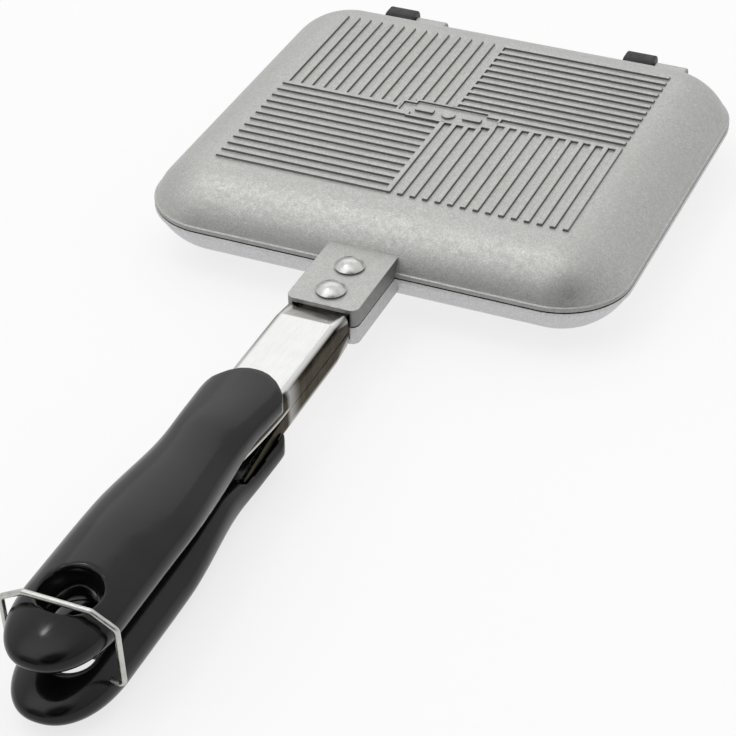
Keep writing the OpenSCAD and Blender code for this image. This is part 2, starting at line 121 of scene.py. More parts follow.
class BracketSizes(bpy.types.PropertyGroup):
    width: length("Width", "Width of the bracket", 22.2)
    height: length("Height", "Height above the closing plane", 5.8)
    wall: length("Wall", "Thickness of its side walls", 2.2)
    corner: length("Corner radius", "Radius of its front corners, seen from above", 2.4)
    mouth_height: length("Mouth height", "Height of the open mouth", 4.3)
    mouth_depth: length("Mouth depth", "Depth of the open mouth", 3.6)
    rivet_head: length("Rivet head", "Diameter of a rivet head", 9.2)
    rivet_rise: length("Rivet rise", "Height of a rivet head", 2.3)
    rivet_shank: length("Rivet shank", "Diameter of a rivet shank", 5.0)
    rivet_inset: length("Rivet inset", "From the bracket's front to the front rivet", 7.4)
    rivet_pitch: length("Rivet pitch", "Distance between the rivets", 13.2)


class HingeSizes(bpy.types.PropertyGroup):
    place: length("Place", "From the middle to the joint between hook and lug", 43.0)
    gap: length("Gap", "Gap along the axis between hook and lug", 0.4)
    hook_length: length("Hook length", "Length of a hook along the axis", 10.1)
    hook_size: length("Hook size", "Thickness of a hook", 9.0)
    hook_corner: length("Hook corner", "Corner radius of a hook", 3.0)
    lug_length: length("Lug length", "Length of a lug along the axis", 10.8)
    lug_size: length("Lug size", "Thickness of a lug", 5.8)
    pin: length("Pin", "Diameter of a hinge pin", 3.0)
    pin_reach: length("Pin reach", "Length of the pin in the hook", 7.5)


class NeckSizes(bpy.types.PropertyGroup):
    tongue_width: length("Tongue width", "Width inside the bracket", 16.4)
    tongue_height: length("Tongue height", "Height of the tongue's top", 2.4)
    sheet: length("Sheet", "Thickness of the sheet", 1.5)
    bend: length("Bend", "Radius of the long bends", 3.0)
    rise: length("Rise", "Length over which the neck rises", 13.4)
    crease: length("Crease", "Radius of the bends across the neck", 2.0)
    foot: length("Foot", "How far inside the mouth the rise begins", 3.0)
    lead: length("Lead", "How much sooner the neck's sides rise than its middle", 6.0)
    widening: length("Widening", "Length over which the neck widens", 2.6)
    flange_gap: length("Flange gap", "From the closing plane to the flanges", 0.1)
    tang_curve: length("Tang curve", "Length over which the flanges rise at the tang", 25.0)
    tang_lift: length("Tang lift", "How far the flanges curve up", 3.0)


class GripSizes(bpy.types.PropertyGroup):
    front_width: length("Front width", "Width at the front end", 24.6)
    waist_width: length("Waist width", "Width at the waist", 22.2)
    rear_width: length("Rear width", "Width at the rear bulb", 27.7)
    front_height: length("Front height", "Height at the front end", 11.6)
    waist_height: length("Waist height", "Height at the waist", 13.5)
    waist_at: length("Waist at", "From the front to the waist", 30.0)
    bulb_at: length("Bulb at", "From the front to the full width", 68.0)
    full_at: length("Full height at", "From the front to the full height", 80.0)
    cap: length("Rear end", "Length of the rounded rear end", 23.0)
    short: length("Short", "How far its rear end stays inside the model's box", 0.1)
    front_lift: length("Front lift", "How much higher the lower edge is in front", 1.4)
    arch: length("Arch", "How far it rises again behind the nose, where the tang shows", 1.3)
    ahead: length("Ahead", "How far the nose's form is drawn forward before it is rounded", 0.8)
    inner: length("Inner face", "From the closing plane to the inner face", 1.2)
    nose: length("Nose radius", "Radius of the front end, seen from above", 13.0)
    hole_width: length("Hole width", "Width of the hanging hole at its throat", 10.8)
    hole_length: length("Hole length", "Length of the hanging hole at its throat", 14.8)
    hole_mouth: length("Hole mouth", "Width of its nearly round mouth", 16.2)
    hole_cone: length("Hole cone", "Depth over which it narrows to the throat", 6.0)
    hole_rim: length("Hole rim", "Radius of its outer rim", 0.9)
    hole_dish: length("Hole dish", "Radius of the dish on the inner side", 5.4)
    hole_inset: length("Hole inset", "From the rear end to the middle of the hole", 21.4)
    screw: length("Screw", "Diameter of a grip screw", 3.5)
    screw_head: length("Screw head", "Diameter of a screw's head", 7.0)
    screw_rise: length("Screw rise", "Height of a screw's head", 2.0)
    screw_inset: length("Screw inset", "From the front to the first screw", 9.0)
    screw_pitch: length("Screw pitch", "Distance between the screws", 11.0)
    voxel: length("Voxel", "Grain of the remeshed grip", 0.5)


class BailSizes(bpy.types.PropertyGroup):
    wire: length("Wire", "Diameter of the wire", 1.6)
    top_width: length("Top width", "Length of the top bar between its corners", 18.4)
    top_bar: length("Top bar", "Height of the top bar above the closing plane", 16.3)
    bevel: length("Bevel", "Height of the bevelled corners", 3.8)
    bend: length("Bend", "Radius of the wire's bends", 1.6)
    held: length("Held", "Length held in the grip at each side", 5.5)
    gap: length("Gap", "Gap between the wire and the grips", 1.0)
    lean: length("Lean", "How far the top bar leans back from above the pivot", 1.3)


class Finishes(bpy.types.PropertyGroup):
    cast: colour("Casting", "Cast aluminium", (0.50, 0.50, 0.485))
    # painted light: the lower pan's casting is a lighter copy of the upper one's colour, standing in for
    # light from the floor below
    lower_cast_painted_light: colour("Lower casting", "Cast aluminium of the lower pan", (0.66, 0.65, 0.66))
    # painted shade: the colour to which the castings' steep sides are darkened, as if they stood in shade
    skin: colour("Casting skin", "Duller skin on the castings' steep sides", (0.15, 0.15, 0.145))
    film: colour("Film", "Black non-stick film", (0.010, 0.010, 0.010))
    sheet: colour("Sheet", "Polished stainless sheet", (0.68, 0.68, 0.67))
    # painted shade: the dark colour painted on the sheet's flanks, standing in for the dark surroundings
    # they reflect
    scale: colour("Scale", "Dark scale on the sheet's flanks", (0.030, 0.026, 0.018))
    rivet: colour("Rivet", "Polished rivets", (0.58, 0.58, 0.565))
    phenolic: colour("Grip", "Glossy black moulding", (0.004, 0.004, 0.0042))
    wire: colour("Wire", "Bright drawn wire", (0.55, 0.55, 0.52))
    steel: colour("Steel", "Pins and screws", (0.55, 0.55, 0.56))
    floor: colour("Floor", "Pale studio floor", (0.90, 0.90, 0.90))


class StageSizes(bpy.types.PropertyGroup):
    camera: FloatVectorProperty(name="Camera", description="Where the camera stands",
                                default=(0.23906, -0.60125, 0.40425), size=3, unit="LENGTH")
    target: FloatVectorProperty(name="Target", description="The point that it looks at",
                                default=(0.02157, -0.11342, 0.0157), size=3, unit="LENGTH")
    roll: FloatProperty(name="Roll", description="Turn of the camera about its own axis",
                        default=math.radians(1.013), unit="ROTATION")
    lens: FloatProperty(name="Lens", description="Focal length in millimetres", default=116.4)
    floor: length("Floor", "Half the side of the floor", 4000.0)


class PieIron(bpy.types.PropertyGroup):
    pan: PointerProperty(type=PanSizes)
    relief: PointerProperty(type=ReliefSizes)
    bracket: PointerProperty(type=BracketSizes)
    hinge: PointerProperty(type=HingeSizes)
    neck: PointerProperty(type=NeckSizes)
    grip: PointerProperty(type=GripSizes)
    bail: PointerProperty(type=BailSizes)
    finish: PointerProperty(type=Finishes)
    stage: PointerProperty(type=StageSizes)


# ---- Halves ----

class Half:
    """One half of the iron. Points are given above the closing plane; the lower half is turned over."""

    def __init__(self, name, side):
        self.name = name
        self.side = side
        self.body = name + "_half"
        # the upper pan takes the casting with painted side shade, the lower pan its lighter painted-light
        # copy
        self.casting = "satin_cast_aluminium" if side > 0 else "bright_cast_aluminium"

    def place(self, point):
        return Vector((point[0], point[1], CLOSING_Z + self.side * point[2]))


UPPER = Half("upper", 1)
LOWER = Half("lower", -1)
HALVES = (UPPER, LOWER)


# ---- Outlines ----

def ease(t):
    t = min(1.0, max(0.0, t))
    return t * t * (3 - 2 * t)


def blend(a, b, t):
    return a + (b - a) * ease(t)


def arc(centre, radius, start, end, steps):
    """Points of an arc, with angles in degrees."""
    angles = [math.radians(start + (end - start) * i / steps) for i in range(steps + 1)]
    return [(centre[0] + radius * math.cos(a), centre[1] + radius * math.sin(a)) for a in angles]


def circle(radius, steps):
    return arc((0, 0), radius, 0, 360 - 360 / steps, steps - 1)


def rounded(corners, steps=4, closed=False):
    """An outline through corners (u, v, radius), each rounded by an arc of its own radius."""
    points = []
    count = len(corners)
    for i, (u, v, radius) in enumerate(corners):
        here = Vector((u, v))
        if radius <= 0 or (not closed and i in (0, count - 1)):
            points.append((u, v))
            continue
        back = (Vector(corners[i - 1][:2]) - here).normalized()
        on = (Vector(corners[(i + 1) % count][:2]) - here).normalized()
        half_angle = back.angle(on) / 2
        reach = radius / math.tan(half_angle)
        centre = here + (back + on).normalized() * radius / math.sin(half_angle)
        first = here + back * reach - centre
        last = here + on * reach - centre
        turn = math.pi - 2 * half_angle
        for k in range(steps + 1):
            share = math.sin(turn * (1 - k / steps)), math.sin(turn * k / steps)
            spoke = (first * share[0] + last * share[1]) / math.sin(turn)
            points.append(tuple(centre + spoke))
    return points


def rounded_rectangle(half_x, half_y, radius, steps):
    points = []
    for quarter, (sx, sy) in enumerate(((1, 1), (-1, 1), (-1, -1), (1, -1))):
        centre = (sx * (half_x - radius), sy * (half_y - radius))
        points += arc(centre, radius, 90 * quarter, 90 * quarter + 90, steps)
    return points


# ---- Meshes ----

def loft(rings):
    """Faces between rings of equal length, with an end face on the first and on the last."""
    count = len(rings[0])
    points = [point for ring in rings for point in ring]
    faces = []
    for j in range(len(rings) - 1):
        for i in range(count):
            k = (i + 1) % count
            faces.append((j * count + i, j * count + k, (j + 1) * count + k, (j + 1) * count + i))
    last = (len(rings) - 1) * count
    faces.append(tuple(reversed(range(count))))
    faces.append(tuple(range(last, last + count)))
    return points, faces


def sheet(rows):
    """Faces between rows of equal length that don't close on themselves."""
    count = len(rows[0])
    points = [point for row in rows for point in row]
    faces = []
    for j in range(len(rows) - 1):
        for i in range(count - 1):
            a = j * count + i
            faces.append((a, a + 1, a + count + 1, a + count))
    return points, faces


def joined(parts):
    """Several (points, faces) as one."""
    points, faces = [], []
    for more_points, more_faces in parts:
        start = len(points)
        points += more_points
        faces += [tuple(start + i for i in face) for face in more_faces]
    return points, faces


def lathe(profile, steps=48):
    """A closed turned piece from (radius, height) pairs that start and end off the axis."""
    return loft([[(x, y, height) for x, y in circle(radius, steps)] for radius, height in profile])


def prism(outline, low, high):
    """An outline in the XY plane, drawn up from low to high."""
    return loft([[(x, y, z) for x, y in outline] for z in (low, high)])


def moved(part, offset):
    points, faces = part
    return [tuple(Vector(point) + Vector(offset)) for point in points], faces


def along_x(part):
    """Turns a piece whose own axis is Z so that it lies along X."""
    points, faces = part
    return [(z, x, y) for x, y, z in points], faces


def mesh_object(name, part, half=None):
    points, faces = part
    mesh = bpy.data.meshes.new(name)
    mesh.from_pydata([half.place(p) for p in points] if half else points, [], faces)
    work = bmesh.new()
    work.from_mesh(mesh)
    bmesh.ops.recalc_face_normals(work, faces=work.faces)
    work.to_mesh(mesh)
    work.free()
    piece = bpy.data.objects.new(name, mesh)
    bpy.context.scene.collection.objects.link(piece)
    return piece


def baked(piece):
    """Applies a piece's modifiers to its mesh."""
    graph = bpy.context.evaluated_depsgraph_get()
    mesh = bpy.data.meshes.new_from_object(piece.evaluated_get(graph))
    piece.modifiers.clear()
    piece.data = mesh
    mesh.name = piece.name


def cut(piece, cutters):
    """Takes the cutters out of a piece and deletes them."""
    for cutter in cutters:
        step = piece.modifiers.new("Cut", "BOOLEAN")
        step.object = cutter
        step.operation = "DIFFERENCE"
        step.solver = "EXACT"
    baked(piece)
    for cutter in cutters:
        mesh = cutter.data
        bpy.data.objects.remove(cutter)
        bpy.data.meshes.remove(mesh)


def soften(piece, width, segments=3, angle=35):
    """Rounds a piece's edges with a bevel."""
    step = piece.modifiers.new("Rounded edges", "BEVEL")
    step.width = width
    step.segments = segments
    step.limit_method = "ANGLE"
    step.angle_limit = math.radians(angle)
    step.harden_normals = True


def finish_piece(piece, body, material, replaces=(), sharp=40):
    """Smooth shading, material and body of a finished piece."""
    piece.data.shade_smooth()
    piece.data.set_sharp_from_angle(angle=math.radians(sharp))
    piece.data.materials.clear()
    piece.data.materials.append(material)
    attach(piece, body)
    if replaces:
        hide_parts(*replaces)


# ---- Finishes ----

NOISE_LOW, NOISE_HIGH = 0.3, 0.7    # most values of a noise lie between these
FLOOR_GLOW = 0.75                   # how far the camera and reflections see the floor as plain white


def shade(tone, factor):
    """A colour made darker or brighter."""
    return [min(1, part * factor) for part in tone]


class Nodes:
    """The nodes of a material or world, and short ways to add to them."""

    def __init__(self, tree):
        self.tree = tree

    def node(self, kind, **values):
        made = self.tree.nodes.new(kind)
        for key, value in values.items():
            setattr(made, key, value)
        return made

    def link(self, out, into):
        self.tree.links.new(out, into)

    def feed(self, value, socket):
        """Links an output to a socket, or sets the socket to a number or colour."""
        if isinstance(value, bpy.types.NodeSocket):
            self.link(value, socket)
        else:
            socket.default_value = (*value, 1) if hasattr(value, "__len__") else value

    def maths(self, operation, a, b):
        made = self.node("ShaderNodeMath", operation=operation)
        self.feed(a, made.inputs[0])
        self.feed(b, made.inputs[1])
        return made.outputs[0]

    def fit(self, value, span, result, kind="LINEAR"):
        """Maps value from span (low, high) to result (low, high), and holds it between these."""
        made = self.node("ShaderNodeMapRange", interpolation_type=kind)
        for name, number in zip(("From Min", "From Max", "To Min", "To Max"), (*span, *result)):
            made.inputs[name].default_value = number
        self.link(value, made.inputs["Value"])
        return made.outputs["Result"]


class Paint(Nodes):
    """A material and short ways to vary its finish."""

    def __init__(self, name, base, metallic, roughness):
        self.material = bpy.data.materials.new(name)
        self.material.use_nodes = True
        super().__init__(self.material.node_tree)
        self.shader = self.tree.nodes["Principled BSDF"]
        self.shader.inputs["Base Color"].default_value = (*base, 1)
        self.shader.inputs["Metallic"].default_value = metallic
        self.shader.inputs["Roughness"].default_value = roughness
        self.place = self.node("ShaderNodeTexCoord").outputs["Object"]

    def noise(self, size, detail=3.0, roughness=0.55, stretch=(1, 1, 1)):
        """Noise whose grains are about size metres across."""
        spread = self.node("ShaderNodeMapping")
        spread.inputs["Scale"].default_value = stretch
        self.link(self.place, spread.inputs["Vector"])
        made = self.node("ShaderNodeTexNoise")
        made.inputs["Scale"].default_value = 1 / size
        made.inputs["Detail"].default_value = detail
        made.inputs["Roughness"].default_value = roughness
        self.link(spread.outputs["Vector"], made.inputs["Vector"])
        return made.outputs["Fac"]

    def ramp(self, noise, dark, light, low=NOISE_LOW, high=NOISE_HIGH):
        """Maps a noise from low..high to the two colours."""
        made = self.node("ShaderNodeValToRGB")
        for element, place, tone in zip(made.color_ramp.elements, (low, high), (dark, light)):
            element.position = place
            element.color = (*tone, 1)
        self.link(noise, made.inputs["Fac"])
        return made.outputs["Color"]

    def spread(self, noise, low, high):
        """Maps a noise to a number between low and high."""
        return self.fit(noise, (NOISE_LOW, NOISE_HIGH), (low, high))

    def mix(self, share, a, b):
        """Mixes two colours; share, a and b are sockets or values."""
        made = self.node("ShaderNodeMix", data_type="RGBA")
        sockets = {socket.identifier: socket for socket in made.inputs}
        for name, value in (("Factor_Float", share), ("A_Color", a), ("B_Color", b)):
            self.feed(value, sockets[name])
        return [socket for socket in made.outputs if socket.identifier == "Result_Color"][0]

    def steepness(self, upright, sloping, share):
        """Share that holds where a surface stands upright and fades to 0 where it slopes."""
        parts = self.node("ShaderNodeSeparateXYZ")
        self.link(self.node("ShaderNodeTexCoord").outputs["Normal"], parts.inputs[0])
        level = self.node("ShaderNodeMath", operation="ABSOLUTE")
        self.link(parts.outputs["Z"], level.inputs[0])
        return self.fit(level.outputs[0], (upright, sloping), (share, 0.0), "SMOOTHSTEP")

    def painted(self, name):
        """A value painted on the mesh's points."""
        return self.node("ShaderNodeAttribute", attribute_name=name).outputs["Fac"]

    def colour(self, socket):
        self.link(socket, self.shader.inputs["Base Color"])

    def roughness(self, socket):
        self.link(socket, self.shader.inputs["Roughness"])

    def bump(self, *heights):
        """Bumps, each given as (height socket, depth in metres)."""
        normal = None
        for height, depth in heights:
            made = self.node("ShaderNodeBump")
            made.inputs["Strength"].default_value = 1.0
            made.inputs["Distance"].default_value = depth
            self.link(height, made.inputs["Height"])
            if normal:
                self.link(normal, made.inputs["Normal"])
            normal = made.outputs["Normal"]
        self.link(normal, self.shader.inputs["Normal"])


def cast(name, base, skin, side_shade_share, upright=0.12, sloping=0.5):
    """Sand-cast aluminium: speckled grain and a faint mottle, with shade painted on its steep sides in the
    skin colour.
    """
    paint = Paint(name, base, 0.88, 0.5)
    speckle = paint.noise(0.0005, 2.0, roughness=0.8)
    grain = paint.noise(0.0016, 3.0, roughness=0.6)
    mottle = paint.noise(0.014, 2.0)
    tone = paint.ramp(speckle, shade(base, 0.78), shade(base, 1.17), low=0.36, high=0.66)
    tone = paint.mix(paint.spread(grain, 0.0, 0.35), tone, shade(base, 0.84))
    tone = paint.mix(paint.spread(mottle, 0.0, 0.3), tone, shade(base, 0.88))
    # painted shade: steep sides are darkened towards the skin colour
    side_shaded = paint.mix(paint.steepness(upright, sloping, side_shade_share), tone, skin)
    # the band is painted lighter by taking back part of its painted side shade
    paint.colour(paint.mix(paint.painted("band_shade_off"), side_shaded, tone))
    paint.roughness(paint.spread(grain, 0.42, 0.56))
    paint.bump((speckle, 0.00003), (grain, 0.00005))
    return paint.material


# painted shade: the upper casting, with strong painted shade on its steep sides
def satin_cast_aluminium(finish):
    return cast("satin_cast_aluminium", finish.cast, finish.skin, side_shade_share=0.72)


# painted light: a lighter copy of the casting for the lower pan, with little painted side shade
def bright_cast_aluminium(finish):
    return cast("bright_cast_aluminium", finish.lower_cast_painted_light, finish.skin, side_shade_share=0.15)


def ribbed_cast_aluminium(finish):
    """The relief's casting, whose small walls are darkest: shade painted into the grooves."""
    return cast("ribbed_cast_aluminium", finish.cast, shade(finish.skin, 0.7), side_shade_share=0.8,
                upright=0.35, sloping=0.8)


def black_nonstick(finish):
    """Black non-stick film: matt, with the pebbled skin of a sprayed coat."""
    paint = Paint("black_nonstick", finish.film, 0.0, 0.5)
    paint.shader.inputs["Specular IOR Level"].default_value = 0.35
    spray = paint.noise(0.0008, 3.0)
    paint.colour(paint.ramp(spray, finish.film, shade(finish.film, 2.2)))
    paint.roughness(paint.spread(paint.noise(0.004, 2.0), 0.38, 0.6))
    paint.bump((spray, 0.00004))
    return paint.material


def polished_stainless(finish):
    """Polished stainless sheet with faint rolling lines, and painted shade on its flanks: a dark colour
    that stands in for the dark surroundings they reflect.
    """
    paint = Paint("polished_stainless", finish.sheet, 1.0, 0.2)
    paint.shader.inputs["Specular Tint"].default_value = (0.67, 0.65, 0.62, 1)
    lines = paint.noise(0.0012, 2.0, 0.5, stretch=(6, 0.25, 6))
    stain = paint.noise(0.006, 3.0)
    streak = paint.noise(0.0022, 3.0, 0.6, stretch=(1, 1.6, 0.5))
    tone = paint.ramp(lines, shade(finish.sheet, 0.93), finish.sheet)
    # painted shade on the flanks, mottled by noise
    scale = paint.mix(paint.spread(stain, 0.0, 1.0), shade(finish.scale, 0.4), shade(finish.scale, 2.4))
    scale = paint.mix(paint.spread(streak, 0.0, 0.7), scale, shade(finish.scale, 0.3))
    paint.colour(paint.mix(paint.painted("scale"), tone, scale))
    paint.roughness(paint.spread(stain, 0.14, 0.26))
    paint.bump((lines, 0.00001))
    return paint.material


def bright_rivet(finish):
    """Bright headed rivets, with fine marks of the setting tool."""
    paint = Paint("bright_rivet", finish.rivet, 1.0, 0.22)
    marks = paint.noise(0.0014, 2.0)
    paint.colour(paint.ramp(marks, shade(finish.rivet, 0.92), shade(finish.rivet, 1.06)))
    paint.roughness(paint.spread(marks, 0.24, 0.34))
    paint.bump((paint.noise(0.0025, 2.0), 0.00005))
    return paint.material


def black_phenolic(finish):
    """Glossy black moulding with a faint flow mottle, fine scuffs and soft waves."""
    paint = Paint("black_phenolic", finish.phenolic, 0.0, 0.14)
    paint.shader.inputs["Specular IOR Level"].default_value = 0.3
    flow = paint.noise(0.014, 2.0)
    scuff = paint.noise(0.0007, 2.0, 0.6, stretch=(1, 0.2, 1))
    paint.colour(paint.ramp(flow, shade(finish.phenolic, 0.7), shade(finish.phenolic, 1.5)))
    paint.roughness(paint.spread(scuff, 0.10, 0.2))
    paint.bump((paint.noise(0.006, 2.0), 0.00003))
    return paint.material


def drawn_steel_wire(finish):
    """Bright drawn wire with a fine grain and a few dull patches."""
    paint = Paint("drawn_steel_wire", finish.wire, 1.0, 0.3)
    dull = paint.noise(0.003, 3.0)
    paint.colour(paint.ramp(dull, shade(finish.wire, 0.8), shade(finish.wire, 1.1)))
    paint.roughness(paint.spread(dull, 0.24, 0.4))
    paint.bump((paint.noise(0.0004, 2.0), 0.00001))
    return paint.material


def turned_steel(finish):
    """Turned steel of pins and screws."""
    paint = Paint("turned_steel", finish.steel, 1.0, 0.35)
    turned = paint.noise(0.0005, 2.0)
    paint.colour(paint.ramp(turned, shade(finish.steel, 0.8), finish.steel))
    paint.roughness(paint.spread(turned, 0.28, 0.45))
    paint.bump((turned, 0.00001))
    return paint.material


def studio_floor(finish):
    """Pale floor that the camera and reflections see near white, with the object's shadow kept."""
    paint = Paint("studio_floor", finish.floor, 0.0, 0.9)
    paint.shader.inputs["Specular IOR Level"].default_value = 0.0
    paint.colour(paint.ramp(paint.noise(0.4, 2.0), shade(finish.floor, 0.99), finish.floor))
    rays = paint.node("ShaderNodeLightPath").outputs
    seen = paint.maths("MAXIMUM", rays["Is Camera Ray"], rays["Is Glossy Ray"])
    seen = paint.maths("MAXIMUM", seen, rays["Is Transmission Ray"])
    both = paint.node("ShaderNodeMixShader")
    paint.link(paint.maths("MULTIPLY", seen, FLOOR_GLOW), both.inputs["Fac"])
    paint.link(paint.shader.outputs[0], both.inputs[1])
    paint.link(paint.node("ShaderNodeEmission").outputs[0], both.inputs[2])
    paint.link(both.outputs[0], paint.tree.nodes["Material Output"].inputs["Surface"])
    return paint.material


FINISHES = {make.__name__: make for make in (
    satin_cast_aluminium, bright_cast_aluminium, ribbed_cast_aluminium, black_nonstick, polished_stainless,
    bright_rivet, black_phenolic, drawn_steel_wire, turned_steel, studio_floor)}


def finish_of(name):
    """The finish by that name, made when first asked for."""
    found = bpy.data.materials.get(name)
    return found or FINISHES[name](sizes().finish)


def sizes():
    return bpy.context.scene.pie_iron


def paint_points(piece, name, value_at):
    """Writes value_at(point) to each of a mesh's points."""
    layer = piece.data.attributes.new(name, "FLOAT", "POINT")
    layer.data.foreach_set("value", [value_at(v.co) for v in piece.data.vertices])


# ---- Castings ----

CORNER_STEPS = 20
DOME_STEPS = 26
FLAT_IN = 4                 # the crown's flat begins this many edge radii inside the dome
BAND_SHADE_KEPT_OFF = 0.4               # share of the painted side shade that is taken off the upright band
BRACKET_EDGE = 0.35 * MM
HOOK_EDGE = 1.2 * MM
LUG_EDGE = 0.4 * MM
BORE_PLAY = 0.05 * MM       # between a hinge pin and its bore, all round
BORE_SIDES = 24


def dome_measures(pan, relief):
    """Crown height, centre height of the dome's arc, its foot angle and how far in its centre lies."""
    crown = CLOSING_Z - relief.height
    centre = crown - pan.dome
    foot = math.asin((pan.band - centre) / pan.dome)
    return crown, centre, foot, pan.ledge + pan.dome * math.cos(foot)


def cavity(pan, relief, radius):
    """The cavity's side as (inset from the rim, height), from the land up to its ceiling."""
    _, centre, _, reach = dome_measures(pan, relief)
    start = math.acos((reach - pan.land) / radius)
    return [(reach - u, v) for u, v in arc((0, centre), radius, math.degrees(start), 90, DOME_STEPS)]


def shell_profile(pan, relief):
    """(inset from the rim, height) from the middle of the crown, round the rim, to the cavity's ceiling."""
    crown, centre, foot, reach = dome_measures(pan, relief)
    outside = [(reach - u, v) for u, v in arc((0, centre), pan.dome, 90, math.degrees(foot), DOME_STEPS)]
    inside = cavity(pan, relief, pan.dome - pan.wall)
    rim = [(*outside[-2], 0), (pan.ledge, pan.band, pan.edge), (0, pan.band, pan.edge),
           (0, pan.gap / 2, pan.edge / 2), (pan.land, pan.gap / 2, pan.edge),
           (*inside[0], 0)]
    flat = reach + pan.edge * FLAT_IN
    return [(flat, crown)] + outside[:-2] + rounded(rim) + inside[1:] + [(flat, crown - pan.wall)]


def pan_ring(pan, inset, height):
    """The rim's outline, drawn in by inset."""
    radius = max(pan.corner - inset, pan.edge)
    outline = rounded_rectangle(PAN_HALF_W - inset, pan.depth / 2 - inset, radius, CORNER_STEPS)
    return [(x, y, height) for x, y in outline]


def make_shell(half, s):
    """A pan's shell, on whose upright band part of the painted side shade is taken off."""
    pan = s.pan
    rings = [pan_ring(pan, inset, height) for inset, height in shell_profile(pan, s.relief)]
    shell = mesh_object(half.name + "_shell", loft(rings), half)
    paint_points(shell, "band_shade_off", lambda p: BAND_SHADE_KEPT_OFF if abs(p.z - CLOSING_Z) < pan.band + pan.edge else 0)
    finish_piece(shell, half.body, finish_of(half.casting), [half.name + "_pan"], sharp=50)


def make_film(half, s):
    """The non-stick film: a thin skin over the land and the cavity."""
    pan = s.pan
    crown, _, _, reach = dome_measures(pan, s.relief)
    inside = cavity(pan, s.relief, pan.dome - pan.wall - pan.film)
    face = pan.gap / 2 - pan.film
    lip = [(pan.edge / 2, pan.gap / 2, 0), (pan.edge, face, 0), (pan.land + pan.film, face, pan.edge),
           (*inside[0], 0)]
    profile = rounded(lip) + inside[1:] + [(reach + pan.edge * FLAT_IN, crown - pan.wall - pan.film)]
    points, faces = loft([pan_ring(pan, inset, height) for inset, height in profile])
    film = mesh_object(half.name + "_film", (points, faces[:-2] + faces[-1:]), half)
    finish_piece(film, half.body, finish_of("black_nonstick"), sharp=50)


def bracket_outline(bracket, back):
    half = bracket.width / 2
    corners = [(half, back, 0), (-half, back, 0), (-half, BRACKET_FRONT, bracket.corner),
               (half, BRACKET_FRONT, bracket.corner)]
    return rounded(corners, 8, closed=True)


def make_bracket(half, s):
    """The bracket's block with its mouth and pocket."""
    pan, bracket = s.pan, s.bracket
    front_rim = -pan.depth / 2
    block = prism(bracket_outline(bracket, front_rim + pan.wall), pan.gap / 2, bracket.height)
    piece = mesh_object(half.name + "_bracket", block, half)
    inside = bracket.width / 2 - bracket.wall
    spare, play = pan.wall, pan.gap / 6

    def room(name, depth, height):
        outline = [(-inside, BRACKET_FRONT - spare), (inside, BRACKET_FRONT - spare),
                   (inside, BRACKET_FRONT + depth), (-inside, BRACKET_FRONT + depth)]
        return mesh_object(name, prism(outline, -spare, height), half)

    pocket = room("pocket", TONGUE_END - BRACKET_FRONT, s.neck.tongue_height + play)
    mouth = room("mouth", bracket.mouth_depth, bracket.mouth_height)
    cut(piece, [pocket, mouth])
    soften(piece, BRACKET_EDGE)
    finish_piece(piece, half.body, finish_of(half.casting), sharp=35)


def knuckle_reach(pan):
    """From the hinge's axis forward to where hooks and lugs end in the pan's wall."""
    return HINGE.y - pan.depth / 2 + pan.wall


def hook_block(hinge, pan):
    """Outline of a hook across the axis, as (back, up) from the axis."""
    reach = knuckle_reach(pan)
    size, r = hinge.hook_size / 2, hinge.hook_corner
    corners = [(-reach, pan.gap / 2, 0), (-size, pan.gap / 2, r / 2), (-size, -size, r),
               (size, -size, r), (size, size, r), (-reach, size, 0)]
    return rounded(corners, 6, closed=True)


def lug_block(hinge, pan):
    reach = knuckle_reach(pan)
    r = hinge.lug_size / 2
    low = math.degrees(math.asin(pan.gap / 2 / r))
    return [(-reach, pan.gap / 2)] + arc((0, 0), r, 180 - low, 450, 28) + [(-reach, r)]


def drawn_along_x(outline, start, end):
    """An outline of (back, up) about the hinge axis, drawn along X."""
    return loft([[(x, HINGE.y + u, v) for u, v in outline] for x in (start, end)])


def bore(hinge, start, end, half):
    ring = circle(hinge.pin / 2 + BORE_PLAY, BORE_SIDES)
    return mesh_object("bore", drawn_along_x(ring, start, end), half)


def make_knuckles(half, s):
    """The hooks of the lower pan or the lugs of the upper one, both bored for their pins."""
    hinge = s.hinge
    hooks = half is LOWER
    for side in SIDES:
        middle = side * hinge.place
        name = half.name + ("_hook" if hooks else "_lug") + ("_left" if side < 0 else "_right")
        if hooks:
            end = middle - hinge.gap / 2
            start = end - hinge.hook_length
            outline = hook_block(hinge, s.pan)
            hole = bore(hinge, end - hinge.pin_reach - SPARE, end + SPARE, half)
        else:
            start = middle + hinge.gap / 2
            end = start + hinge.lug_length
            outline = lug_block(hinge, s.pan)
            hole = bore(hinge, start - SPARE, end + SPARE, half)
        piece = mesh_object(name, drawn_along_x(outline, start, end), half)
        cut(piece, [hole])
        soften(piece, HOOK_EDGE if hooks else LUG_EDGE, segments=4, angle=50)
        finish_piece(piece, half.body, finish_of("black_nonstick" if hooks else half.casting))


# ---- Relief ----

FOOT_EDGE = 0.6             # radius at a rib's foot, as a share of that at its top
ROOT_HEIGHT = 0.96          # share of its height at which a rib starts under the field's frame
# (drafts in from a rib's end, share of its height)
RIB_END = ((0, 0), (0.9, 0.45), (1.6, 0.8), (2.4, 0.94), (4, 1))
BAR_HALF_DEPTH = 1.15 * MM
BAR_CORNER = 0.4 * MM
STUD_RADIUS = 2.2 * MM
STUD_EDGE = 0.2 * MM
FIELD_EDGE = 0.15 * MM
FIELD_SUNK = MM / 4         # how far bars and stud reach into the field's floor
RELIEF_SUNK = 0.01 * MM     # how far the relief's foot lies in the crown


